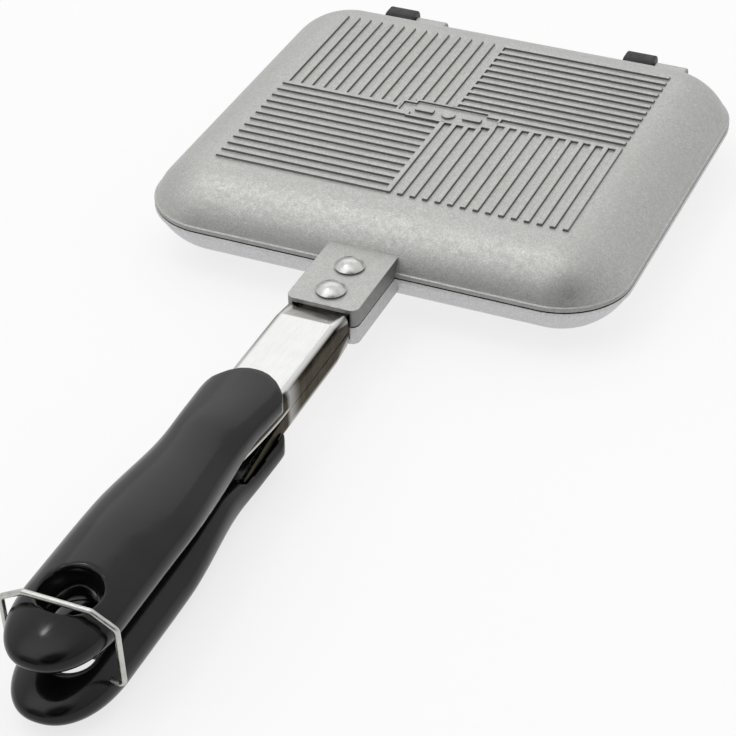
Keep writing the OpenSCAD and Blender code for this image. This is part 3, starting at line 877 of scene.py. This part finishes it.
def rib_section(relief):
    """Half-open outline of one rib: (across, height) from its left foot to its right foot."""
    foot = relief.width / 2 + relief.draft
    top = relief.width / 2 - relief.draft
    out = foot + relief.edge
    root = relief.edge * FOOT_EDGE
    return rounded([(-out, 0, 0), (-foot, 0, root), (-top, relief.height, relief.edge),
                    (top, relief.height, relief.edge), (foot, 0, root), (out, 0, 0)])


def comb(base, section, stations, place):
    """A rib: its section is drawn through stations of (distance along, share of height)."""
    rows = [[place(along, across, base + height * share) for across, height in section]
            for along, share in stations]
    return sheet(rows)


def field_steps(relief):
    """Half sizes of the field's frame: (half width, half depth) of its long bar and of its deep one."""
    grow = relief.width / 2
    w, d = relief.field_width / 2 + grow, relief.field_depth / 2 + grow
    return (w, d - relief.step_depth), (w - relief.step_width, d)


def rib_start(relief, across, lengthwise):
    """How far from the middle a rib begins, so that it ends inside the field's frame."""
    (w, short), (mid, d) = field_steps(relief)
    if lengthwise:
        reach = w if across < short else mid if across < d else 0
    else:
        reach = d if across < mid else short if across < w else 0
    return max(0, reach - relief.width / 4)


def relief_sheets(relief, base):
    """Four combs of ribs, turned one after the other about the middle, and the cross of their backs."""
    rib = rib_section(relief)
    reach_x = relief.across * relief.pitch + relief.width / 2
    reach_y = relief.deep * relief.pitch + relief.width / 2
    turns = (
        (relief.deep, reach_x, True, lambda u, v, z: (u, v, z)),
        (relief.across, reach_y, False, lambda u, v, z: (-v, u, z)),
        (relief.deep, reach_x, True, lambda u, v, z: (-u, -v, z)),
        (relief.across, reach_y, False, lambda u, v, z: (v, -u, z)),
    )
    parts = []
    for count, reach, lengthwise, place in turns:
        out = [(reach - drafts * relief.draft, share) for drafts, share in reversed(RIB_END)]
        for k in range(count + 1):
            start = rib_start(relief, k * relief.pitch, lengthwise)
            section = [(k * relief.pitch + across, height) for across, height in rib]
            root = [(start, ROOT_HEIGHT), (start + 2 * relief.width, 1)] if k else [(start, 1)]
            parts.append(comb(base, section, root + out, place))
    return joined(parts)


def stepped_outline(relief, grow):
    """The field's outline: a long bar with a deeper, shorter one across it."""
    (w, end), (mid, d) = field_steps(relief)
    w, end, mid, d = w + grow, end + grow, mid + grow, d + grow
    return [(w, end), (mid, end), (mid, d), (-mid, d), (-mid, end), (-w, end),
            (-w, -end), (-mid, -end), (-mid, -d), (mid, -d), (mid, -end), (w, -end)]


def field_parts(relief, base):
    """The framed field in the middle of the relief, with a round stud and two plain bars in it."""
    top = base + relief.height
    floor = top - relief.field_sink
    lean = relief.draft / 2
    rim = relief.width / 2
    walls = ((lean, base - 2 * FIELD_SUNK), (-lean, top), (lean - rim, top), (-lean - rim, floor))
    rings = [[(x, y, z) for x, y in stepped_outline(relief, grow)] for grow, z in walls]
    frame_points, frame_faces = loft(rings)
    parts = [(frame_points, frame_faces[:-2] + frame_faces[-1:])]
    bar_half_width = (relief.field_width / 4 - relief.width) / 2
    bar = prism(rounded_rectangle(bar_half_width, BAR_HALF_DEPTH, BAR_CORNER, 3), floor - FIELD_SUNK, top)
    parts += [moved(bar, (side * relief.field_width / 4, 0, 0)) for side in SIDES]
    parts.append(lathe([(STUD_RADIUS, floor - FIELD_SUNK), (STUD_RADIUS, top - STUD_EDGE),
                        (STUD_RADIUS - STUD_EDGE, top)]))
    return joined(parts)


def make_relief(half, s):
    base = dome_measures(s.pan, s.relief)[0] - RELIEF_SUNK
    ribs = mesh_object(half.name + "_relief", relief_sheets(s.relief, base), half)
    for polygon in ribs.data.polygons:
        if polygon.normal.z * half.side < 0:
            polygon.flip()
    finish_piece(ribs, half.body, finish_of("ribbed_cast_aluminium"), sharp=60)
    field = mesh_object(half.name + "_field", field_parts(s.relief, base), half)
    soften(field, FIELD_EDGE, segments=2, angle=40)
    finish_piece(field, half.body, finish_of("ribbed_cast_aluminium"), sharp=35)


# ---- Necks ----

SHEET_EDGE = 0.2 * MM       # radius of the sheet's cut edges, and the least one inside its bends
BEND_ROOM = 0.8             # share of the neck's height that the outer bends may take
INNER_ROOM = 0.6            # the same for the inner bends
SIDE_START = 0.66           # share of the half width at which the neck's sides begin to rise sooner
SIDE_SPAN = 0.28            # share of the half width over which they come to do so
SIDE_DELAY = 2 * MM         # distance from the bracket over which this begins
TANG_SWEEP = 1.3            # exponent of the flanges' curve at the tang
FLANK_STEPS = 14            # points along a flank, for the edge of the painted shade

def neck_half_width(s, y):
    return blend(s.neck.tongue_width / 2, NECK_HALF_W, (BRACKET_FRONT - y) / s.neck.widening)


def neck_profile(s):
    """The top's line from the tongue to the tang, as (distance behind the tongue's end, height)."""
    n = s.neck
    foot = TONGUE_END - BRACKET_FRONT - n.foot
    crest = foot + n.rise
    corners = [(0, n.tongue_height, 0), (foot, n.tongue_height, n.crease), (crest, NECK_TOP, n.crease),
               (TONGUE_END - TANG_END, NECK_TOP, 0)]
    return rounded(corners, 8)


def neck_top(s, y):
    behind = TONGUE_END - y
    points = neck_profile(s)
    for (a, low), (b, high) in zip(points, points[1:]):
        if behind <= b + 1e-9:
            return low + (high - low) * (behind - a) / (b - a)
    return NECK_TOP


def neck_edge(s, y):
    share = max(0.0, TANG_END + s.neck.tang_curve - y) / s.neck.tang_curve
    return s.neck.flange_gap + s.neck.tang_lift * share ** TANG_SWEEP


def neck_ring(s, y):
    """The channel's section: out over the back of the sheet and back inside it."""
    w, top, low = neck_half_width(s, y), neck_top(s, y), neck_edge(s, y)
    t = s.neck.sheet
    r = min(s.neck.bend, (top - low) * BEND_ROOM)
    inner = max(SHEET_EDGE, min(r - t, (top - t - low) * INNER_ROOM))
    lip = SHEET_EDGE
    outside = [(w, low, lip), (w, top, r), (-w, top, r), (-w, low, lip)]
    inside = [(t - w, low, lip), (t - w, top - t, inner), (w - t, top - t, inner), (w - t, low, lip)]
    return rounded(outside + inside, 8, closed=True)


def lifted(s, x, y, z):
    """Height of a point of the ring at y: the neck's sides rise sooner than its middle."""
    side = ease((abs(x) - SIDE_START * NECK_HALF_W) / (SIDE_SPAN * NECK_HALF_W))
    side *= ease((BRACKET_FRONT - y) / SIDE_DELAY)
    top, low = neck_top(s, y), neck_edge(s, y)
    gain = neck_top(s, y - s.neck.lead * side) - top
    return z + gain * max(0.0, (z - low) / (top - low))


def flank_split(ring):
    """Adds points on the long flanks, where the painted shade's edge lies."""
    made = []
    for here, on in zip(ring, ring[1:] + ring[:1]):
        steps = FLANK_STEPS if abs(here[0] - on[0]) < 1e-7 else 1
        made += [tuple(Vector(here).lerp(Vector(on), k / steps)) for k in range(steps)]
    return made


def flank_shade_painter(half, s):
    """Gives the function that says how dark the painted shade is at a point of the neck."""
    bend = s.neck.bend
    clean_back = 0.9            # share of the half width that stays bright
    tang_start = 0.6 * MM       # painted shade on the upper tang begins this far above its flanges' edges, so that a lit strip stays below it
    tang_fade = 0.7 * MM
    left_rise = 0.35 * bend     # on the left it begins so much lower
    grip_fade = 8 * MM          # it thins out over this length before the grip
    grip_thin = 0.6             # and so much of it is gone there
    fade_start, fade_end = (0.2 * bend, 0.45 * bend) if half is UPPER else (2.2 * MM, 3.6 * MM)

    def scale(point):
        above = abs(point.z - CLOSING_Z)
        if abs(point.x) < neck_half_width(s, point.y) * clean_back:
            return 0.0
        # under the grip the upper flange is painted dark above a lit strip at its edge, as painted shadow
        # of the grip's edge; the lower one is painted dark throughout
        if point.y < GRIP_FRONT - MM:
            return ease((above - neck_edge(s, point.y) - tang_start) / tang_fade) if half is UPPER else 1.0
        depth = neck_top(s, point.y) - above - (left_rise if point.x < 0 else 0)
        thinned = ease((GRIP_FRONT + grip_fade - point.y) / grip_fade) * grip_thin
        return ease((depth - fade_start) / (fade_end - fade_start)) * (1 - thinned)

    return scale


def make_neck(half, s):
    neck = s.neck
    stations = [TONGUE_END - behind for behind, _ in neck_profile(s)]
    rear = TANG_END + neck.tang_curve
    shank = [stations[-2] + (rear - stations[-2]) * i / 16 for i in range(1, 16)]
    widening = [BRACKET_FRONT - neck.widening * i / 8 for i in range(9)]
    tang = [rear - neck.tang_curve * i / 16 for i in range(17)]
    rows = sorted(set(stations[:-1] + widening + shank + tang), reverse=True)
    rings = [[(x, y, lifted(s, x, y, z)) for x, z in flank_split(neck_ring(s, y))] for y in rows]
    piece = mesh_object(half.name + "_channel", loft(rings), half)
    # painted shade on the flanks
    paint_points(piece, "scale", flank_shade_painter(half, s))
    finish_piece(piece, half.body, finish_of("polished_stainless"),
                 [half.name + "_neck"], sharp=35)


# ---- Fasteners ----

HEAD_STEPS = 15
RIVET_RIM = ((-0.7, 0), (-0.12, 0.3), (0, 0.6))     # (out from the head's radius, up from its seat) in mm
RIVET_TAIL = MM             # how far the flat tail stands out from the shank
TAIL_EDGE = 0.1 * MM
SCREW_EDGE = 0.4 * MM
SCREW_REACH = 4.6 * MM      # length of a screw beyond the sheet
SLOT_ARM, SLOT_WIDTH = 4.8 * MM, MM
SLOT_CORNER = 0.1 * MM
SLOT_DEPTH = 0.9 * MM
PIN_EDGE = 0.3 * MM


def rivet(s):
    """A rivet on its own axis: domed head, shank and flat tail."""
    b = s.bracket
    head, rise, seat = b.rivet_head / 2, b.rivet_rise, b.height
    radius = (head ** 2 + rise ** 2) / (2 * rise)
    rim = [(head + out * MM, seat + up * MM) for out, up in RIVET_RIM]
    dome = []
    for i in range(1, HEAD_STEPS):
        angle = math.asin(head / radius) * (1 - i / HEAD_STEPS)
        dome.append((radius * math.sin(angle), seat + rise - radius + radius * math.cos(angle)))
    shank = b.rivet_shank / 2
    tail = shank + RIVET_TAIL
    low, high = s.neck.flange_gap, s.neck.tongue_height - s.neck.sheet
    foot = [(tail - TAIL_EDGE, low), (tail, low + TAIL_EDGE), (tail, high), (shank, high), (shank, seat)]
    return lathe(foot + rim + dome, 56)


def make_rivets(half, s):
    first = BRACKET_FRONT + s.bracket.rivet_inset
    parts = [moved(rivet(s), (0, first + k * s.bracket.rivet_pitch, 0)) for k in range(2)]
    piece = mesh_object(half.name + "_rivets", joined(parts), half)
    finish_piece(piece, half.body, finish_of("bright_rivet"),
                 [half.name + "_neck_rivets"], sharp=35)


def grip_screw(s):
    """A pan-head screw on its own axis, standing head down in the tang's channel."""
    web = NECK_TOP - s.neck.sheet
    low, high = web - s.grip.screw_rise, web + SCREW_REACH + s.neck.sheet
    head, shank, edge = s.grip.screw_head / 2, s.grip.screw / 2, SCREW_EDGE
    profile = [(head - 3 * edge, low), (head - edge, low + edge / 2), (head, low + 2 * edge), (head, web),
               (shank, web), (shank, high - edge), (shank - edge, high)]
    return lathe(profile, 40)


def make_grip_screws(half, s):
    """Both screws of a grip, with cross slots in their heads."""
    parts = []
    slots = []
    low = NECK_TOP - s.neck.sheet - s.grip.screw_rise
    for k in range(2):
        y = GRIP_FRONT - s.grip.screw_inset - k * s.grip.screw_pitch
        parts.append(moved(grip_screw(s), (0, y, 0)))
        for width, depth in ((SLOT_WIDTH, SLOT_ARM), (SLOT_ARM, SLOT_WIDTH)):
            outline = rounded_rectangle(width / 2, depth / 2, SLOT_CORNER, 2)
            bar = prism(outline, low - SPARE, low + SLOT_DEPTH)
            slots.append(mesh_object("slot", moved(bar, (0, y, 0)), half))
    piece = mesh_object(half.name + "_screws", joined(parts), half)
    cut(piece, slots)
    finish_piece(piece, half.body, finish_of("turned_steel"),
                 [half.name + "_grip_screws"], sharp=35)


def make_hinge_pins(s):
    hinge = s.hinge
    parts = []
    for side in SIDES:
        middle = side * hinge.place
        low, high = middle - hinge.gap / 2 - hinge.pin_reach, middle + hinge.gap / 2 + hinge.lug_length
        r = hinge.pin / 2
        profile = [(r - PIN_EDGE, low), (r, low + PIN_EDGE), (r, high - PIN_EDGE), (r - PIN_EDGE, high)]
        parts.append(moved(along_x(lathe(profile, 36)), (0, HINGE.y, 0)))
    piece = mesh_object("steel_pins", joined(parts), UPPER)
    finish_piece(piece, UPPER.body, finish_of("turned_steel"), ["hinge_pins"], sharp=35)


# ---- Grips ----

SECTION_N = 2.2             # exponent of the section's rounded corners
BOXY_N = 4.0                # the same for its lower corners in front
CAP_N = 2.2                 # exponent of the rear end, seen from above
GRIP_SIDES = 64
BODY_STEPS = 60
CAP_STEPS = 24
CAP_END = 89.6              # degrees of the rear end's quarter turn at its last ring
LAST_RING = 0.999           # share of the rear end's length at which its form stops closing
RISE_START, RISE_SPAN = 3 * MM, 9 * MM      # where the lower edge rises behind the nose
FALL_START, FALL_SPAN = 20 * MM, 22 * MM    # and where it comes down again
AHEAD_SPAN = 20 * MM        # length over which the nose is drawn forward
MOUTH_STEPS = 14
CONE_STEPS = 9
THROAT_FLARE = 2.2          # how much longer the dish's outer edge is than the throat
RIM_OBLONG = 0.1            # what is left of the throat's length at the hole's rim
NOSE_SIDE = 0.1 * MM        # the nose's ellipse stands out beyond the sides by this
TANG_PLAY = 0.15 * MM       # between the tang and its pocket
TANG_END_PLAY = 0.2 * MM
NOSE_SOFT, NOSE_FADE = 6 * MM, 3 * MM       # the part of the nose that is rounded more, and its fading
NOSE_PASSES, EDGE_PASSES = 40, 8            # smoothing passes there and elsewhere
BAIL_PLAY = 0.08 * MM       # between the wire and its bore, all round


def grip_half_width(g, s):
    if s < g.waist_at:
        return blend(g.front_width, g.waist_width, s / g.waist_at) / 2
    return blend(g.waist_width, g.rear_width, (s - g.waist_at) / (g.bulb_at - g.waist_at)) / 2


def grip_top(g, s):
    if s < g.waist_at:
        return blend(g.front_height, g.waist_height, s / g.waist_at)
    return blend(g.waist_height, CLOSING_Z, (s - g.waist_at) / (g.full_at - g.waist_at))


def squircle(value, exponent):
    return math.copysign(abs(value) ** (2 / exponent), value)


def grip_span(g):
    return GRIP_FRONT - GRIP_REAR - g.short


def grip_ring(g, s):
    """Section of a grip at the distance s behind its front end."""
    u = min(LAST_RING, max(0.0, (s - (grip_span(g) - g.cap)) / g.cap))
    w = grip_half_width(g, s) * (1 - u ** CAP_N) ** (1 / CAP_N)
    top = grip_top(g, s)
    fallen = ease((s - FALL_START) / FALL_SPAN)
    arch = g.arch * (ease((s - RISE_START) / RISE_SPAN) - fallen)
    inner = g.inner + g.front_lift * (1 - fallen) + arch
    h = (top - inner) / 2 * math.sqrt(1 - u * u)
    mid = (top + inner) / 2
    y = GRIP_FRONT + g.ahead * (1 - ease(s / AHEAD_SPAN)) - s
    boxy = blend(BOXY_N, SECTION_N, (s - g.waist_at) / (g.bulb_at - g.waist_at))
    ring = []
    for i in range(GRIP_SIDES):
        a = math.radians(360 * (i + 0.5) / GRIP_SIDES)
        n = SECTION_N if math.sin(a) > 0 else boxy
        ring.append((w * squircle(math.cos(a), n), y, mid + h * squircle(math.sin(a), n)))
    return ring


def hole_cutter(g):
    """The hanging hole: a nearly round mouth, a cone down to its oblong throat, and a dish inside."""
    r, mouth = g.hole_width / 2, g.hole_mouth / 2
    throat = (g.hole_length - g.hole_width) / 2
    top = CLOSING_Z - g.hole_rim
    dish = arc((r + g.hole_dish, g.inner + g.hole_dish), g.hole_dish, -90, -180, MOUTH_STEPS)
    rim = arc((mouth + g.hole_rim, top), g.hole_rim, 180, 90, 5)
    path = [(r + g.hole_dish, g.inner - 2 * SPARE, THROAT_FLARE)]
    path += [(x, z, blend(THROAT_FLARE, 1, i / MOUTH_STEPS)) for i, (x, z) in enumerate(dish)]
    for i in range(CONE_STEPS):
        down = g.hole_cone * (1 - i / CONE_STEPS)
        path.append((blend(r, mouth, i / CONE_STEPS), top - down, 1 - i / (CONE_STEPS + 1)))
    path += [(x, z, RIM_OBLONG) for x, z in rim]
    path.append((mouth + g.hole_rim, CLOSING_Z + 2 * SPARE, RIM_OBLONG))
    rings = []
    for radius, z, share in path:
        back = [(x, y + throat * share, z) for x, y in arc((0, 0), radius, 0, 180, 20)]
        fore = [(x, y - throat * share, z) for x, y in arc((0, 0), radius, 180, 360, 20)]
        rings.append(back + fore)
    return moved(loft(rings), (0, GRIP_REAR + g.hole_inset, 0))


def nose_cutter(g):
    """What lies in front of the grip's rounded nose."""
    y = GRIP_FRONT + g.ahead - g.nose
    far = g.nose + 8 * SPARE
    widen = (g.front_width / 2 + NOSE_SIDE) / g.nose
    outline = [(x * widen, v) for x, v in arc((0, y), g.nose, 0, 180, 40)]
    outline += [(-far, y), (-far, y + far), (far, y + far), (far, y)]
    return prism(outline, -SPARE, CLOSING_Z + SPARE)


def tang_cutter():
    """The pocket that takes the tang."""
    half = NECK_HALF_W + TANG_PLAY
    low, high = TANG_END - TANG_END_PLAY, GRIP_FRONT + 5 * SPARE
    outline = [(-half, low), (half, low), (half, high), (-half, high)]
    return prism(outline, -SPARE, NECK_TOP + TANG_PLAY)


def smooth(piece, passes, group=""):
    """Rounds a moulding's edges, all over or where a vertex group says."""
    step = piece.modifiers.new("Moulded edges", "SMOOTH")
    step.factor = 0.5
    step.iterations = passes
    step.vertex_group = group
    baked(piece)


def make_grip(half, s):
    """A grip: its lofted form is cut, remeshed and smoothed, so that its edges round as a moulding's do."""
    g = s.grip
    start = grip_span(g) - g.cap
    body = [start * i / BODY_STEPS for i in range(BODY_STEPS + 1)]
    cap = [start + g.cap * math.sin(math.radians(CAP_END * i / CAP_STEPS)) for i in range(1, CAP_STEPS + 1)]
    piece = mesh_object(half.name + "_handle", loft([grip_ring(g, d) for d in body + cap]), half)
    cut(piece, [mesh_object("nose", nose_cutter(g), half), mesh_object("hole", hole_cutter(g), half),
                mesh_object("tang", tang_cutter(), half)])
    remesh = piece.modifiers.new("Moulded skin", "REMESH")
    remesh.mode = "VOXEL"
    remesh.voxel_size = g.voxel
    smooth(piece, EDGE_PASSES)
    nose = piece.vertex_groups.new(name="nose")
    for v in piece.data.vertices:
        nose.add([v.index], ease((v.co.y - GRIP_FRONT + NOSE_SOFT) / NOSE_FADE), "REPLACE")
    smooth(piece, NOSE_PASSES, "nose")
    if half is LOWER:
        drill_pivots(piece, s)
    finish_piece(piece, half.body, finish_of("black_phenolic"), [half.name + "_grip"], sharp=60)


def drill_pivots(piece, s):
    """The two blind bores in which the bail turns."""
    leg = bail_leg_x(s)
    end = bail_held_x(s) - SPARE / 2
    ring = circle(s.bail.wire / 2 + BAIL_PLAY, BORE_SIDES)
    cutters = []
    for side in SIDES:
        ends = sorted((side * end, side * (leg + 3 * SPARE)))
        rings = [[(x, BAIL_PIVOT.y + u, BAIL_PIVOT.z + v) for u, v in ring] for x in ends]
        cutters.append(mesh_object("pivot", loft(rings)))
    cut(piece, cutters)


# ---- Bail ----

WIRE_SIDES = 20
END_IN, END_NARROW = 0.3, 0.7       # the wire's rounded ends, as shares of its radius


def bail_leg_x(s):
    return s.grip.rear_width / 2 + s.bail.gap + s.bail.wire / 2


def bail_held_x(s):
    """Where the wire ends inside the grip."""
    return s.grip.rear_width / 2 - s.bail.held


def bail_path(s):
    """The bail's centre line as (x, z) with the radius of each bend, from one pivot to the other."""
    bail = s.bail
    leg = bail_leg_x(s)
    top = CLOSING_Z + bail.top_bar
    side = [(bail_held_x(s), BAIL_PIVOT.z, 0), (leg, BAIL_PIVOT.z, bail.bend),
            (leg, top - bail.bevel, bail.bend), (bail.top_width / 2, top, bail.bend)]
    return rounded(side + [(-x, z, r) for x, z, r in reversed(side)], 10)


def tube(path, radius, lean):
    """A round wire through points (x, z) of the bail's plane, which leans back, with rounded ends."""
    foot, top = BAIL_PIVOT.z, max(z for x, z in path)
    side = Vector((0, 1, 0))
    turns = [math.radians(360 * k / WIRE_SIDES) for k in range(WIRE_SIDES)]
    last = len(path) - 1
    rings = []
    for i, (x, z) in enumerate(path):
        before, after = path[max(0, i - 1)], path[min(last, i + 1)]
        along = Vector((after[0] - before[0], 0, after[1] - before[1])).normalized()
        out = Vector((along.z, 0, -along.x))
        middle = Vector((x, BAIL_PIVOT.y - lean * (z - foot) / (top - foot), z))
        ring = [middle + (out * math.cos(a) + side * math.sin(a)) * radius for a in turns]
        if i in (0, last):
            inward = along if i == 0 else -along
            rim = [p + inward * radius * END_IN for p in ring]
            end = [middle + (p - middle) * END_NARROW for p in ring]
            rings += [end, rim] if i == 0 else [rim, end]
        else:
            rings.append(ring)
    return loft([[tuple(p) for p in ring] for ring in rings])


def make_bail(s):
    piece = mesh_object("wire_bail", tube(bail_path(s), s.bail.wire / 2, s.bail.lean))
    finish_piece(piece, "bail", finish_of("drawn_steel_wire"), ["latch_bail"], sharp=40)


# ---- Operators ----

class MakePans(bpy.types.Operator):
    """Cast shells of both pans, with their brackets, hooks and lugs"""

    bl_idname = "pie_iron.pans"
    bl_label = "Pans"
    bl_options = {"REGISTER", "UNDO"}

    def execute(self, context):
        for half in HALVES:
            for make in (make_shell, make_bracket, make_knuckles):
                make(half, sizes())
        return {"FINISHED"}


class MakeRelief(bpy.types.Operator):
    """Combs of ribs and the framed field on both pans"""

    bl_idname = "pie_iron.relief"
    bl_label = "Relief"
    bl_options = {"REGISTER", "UNDO"}

    def execute(self, context):
        for half in HALVES:
            make_relief(half, sizes())
        return {"FINISHED"}


class MakeFilm(bpy.types.Operator):
    """Black non-stick film inside both pans"""

    bl_idname = "pie_iron.film"
    bl_label = "Non-stick film"
    bl_options = {"REGISTER", "UNDO"}

    def execute(self, context):
        for half in HALVES:
            make_film(half, sizes())
        return {"FINISHED"}


class MakeNecks(bpy.types.Operator):
    """Bent sheet necks and the rivets that hold them"""

    bl_idname = "pie_iron.necks"
    bl_label = "Necks and rivets"
    bl_options = {"REGISTER", "UNDO"}

    def execute(self, context):
        for half in HALVES:
            make_neck(half, sizes())
            make_rivets(half, sizes())
        return {"FINISHED"}


class MakeGrips(bpy.types.Operator):
    """Moulded grips and the screws that hold them"""

    bl_idname = "pie_iron.grips"
    bl_label = "Grips and screws"
    bl_options = {"REGISTER", "UNDO"}

    def execute(self, context):
        for half in HALVES:
            make_grip(half, sizes())
            make_grip_screws(half, sizes())
        return {"FINISHED"}


class MakeWirework(bpy.types.Operator):
    """Wire bail and hinge pins"""

    bl_idname = "pie_iron.wirework"
    bl_label = "Bail and pins"
    bl_options = {"REGISTER", "UNDO"}

    def execute(self, context):
        make_bail(sizes())
        make_hinge_pins(sizes())
        return {"FINISHED"}


class MakeStage(bpy.types.Operator):
    """Pale floor, soft lamps, world and camera"""

    bl_idname = "pie_iron.stage"
    bl_label = "Stage"
    bl_options = {"REGISTER", "UNDO"}

    def execute(self, context):
        make_floor(sizes().stage)
        make_world()
        make_lamps()
        make_camera(sizes().stage)
        return {"FINISHED"}


def make_floor(stage):
    side = stage.floor
    corners = [(-side, -side, 0), (side, -side, 0), (side, side, 0), (-side, side, 0)]
    floor = mesh_object("studio_floor", (corners, [(0, 1, 2, 3)]))
    floor.data.materials.append(finish_of("studio_floor"))


def make_world():
    """A light tent: bright above and behind, darker towards its open side and dark at the tripod."""
    world = bpy.data.worlds.new("light_tent")
    world.use_nodes = True
    sky = Nodes(world.node_tree)
    way = sky.node("ShaderNodeTexCoord").outputs["Generated"]

    def share(direction, span, result):
        """Brightness that changes as the way looked at turns to a direction."""
        dot = sky.node("ShaderNodeVectorMath", operation="DOT_PRODUCT")
        dot.inputs[1].default_value = Vector(direction).normalized()
        sky.link(way, dot.inputs[0])
        return sky.fit(dot.outputs["Value"], span, result, "SMOOTHSTEP")

    level = share((0, 0, 1), (0.0, 0.5), (0.8, 1.0))
    open_side = share((-0.5, 0.85, 0), (-0.9, 0.5), (0.65, 1.0))
    bright_panel = share((-0.1, -0.57, 0.81), (0.62, 1.0), (1.0, 2.0))
    tripod = share((0.34, -0.72, 0.61), (0.82, 0.96), (1.0, 0.0))
    dark_room = share((-0.36, -0.86, 0.28), (0.88, 0.985), (1.0, 0.3))
    for factor in (open_side, bright_panel, tripod, dark_room):
        level = sky.maths("MULTIPLY", level, factor)
    background = world.node_tree.nodes["Background"]
    background.inputs["Color"].default_value = (1, 1, 1, 1)
    sky.link(level, background.inputs["Strength"])
    bpy.context.scene.world = world


def lamp(name, place, target, size, power):
    """A soft box that points at target; size is (width, height) in metres, power in watts."""
    light = bpy.data.lights.new(name, "AREA")
    light.shape = "RECTANGLE"
    light.size, light.size_y = size
    light.energy = power
    box = bpy.data.objects.new(name, light)
    box.location = place
    box.rotation_euler = (Vector(target) - Vector(place)).to_track_quat("-Z", "Y").to_euler()
    bpy.context.scene.collection.objects.link(box)


def make_lamps():
    middle = (0, -0.08, 0)
    lamp("back_softbox", (-0.45, 0.95, 0.85), middle, size=(1.2, 0.7), power=1.1)
    lamp("key_softbox", (-0.1, -0.65, 1.5), middle, size=(2.4, 2.0), power=1.6)
    lamp("small_softbox", (-0.47, -0.06, 1.2), middle, size=(0.16, 0.04), power=0.6)


def make_camera(stage):
    data = bpy.data.cameras.new("camera")
    data.lens = stage.lens
    data.sensor_width = 36
    camera = bpy.data.objects.new("camera", data)
    look = Vector(stage.target) - Vector(stage.camera)
    turn = look.to_track_quat("-Z", "Y").to_matrix() @ Matrix.Rotation(-stage.roll, 3, "Z")
    camera.location = stage.camera
    camera.rotation_euler = turn.to_euler()
    bpy.context.scene.collection.objects.link(camera)
    bpy.context.scene.camera = camera
    bpy.context.scene.view_settings.view_transform = "Standard"


class PieIronPanel(bpy.types.Panel):
    """Lists the operators in the order in which they run"""

    bl_idname = "VIEW3D_PT_pie_iron"
    bl_label = "Pie Iron"
    bl_space_type = "VIEW_3D"
    bl_region_type = "UI"
    bl_category = "Pie Iron"

    def draw(self, context):
        for operator in OPERATORS:
            self.layout.operator(operator.bl_idname)


GROUPS = (PanSizes, ReliefSizes, BracketSizes, HingeSizes, NeckSizes, GripSizes, BailSizes, Finishes,
          StageSizes, PieIron)
OPERATORS = (MakePans, MakeRelief, MakeFilm, MakeNecks, MakeGrips, MakeWirework, MakeStage)


def register():
    for each in GROUPS + OPERATORS + (PieIronPanel,):
        bpy.utils.register_class(each)
    bpy.types.Scene.pie_iron = PointerProperty(type=PieIron)


def unregister():
    del bpy.types.Scene.pie_iron
    for each in reversed(GROUPS + OPERATORS + (PieIronPanel,)):
        bpy.utils.unregister_class(each)


def main():
    register()
    for operator in OPERATORS:
        group, name = operator.bl_idname.split(".")
        getattr(getattr(bpy.ops, group), name)()


if __name__ == "__main__":
    main()
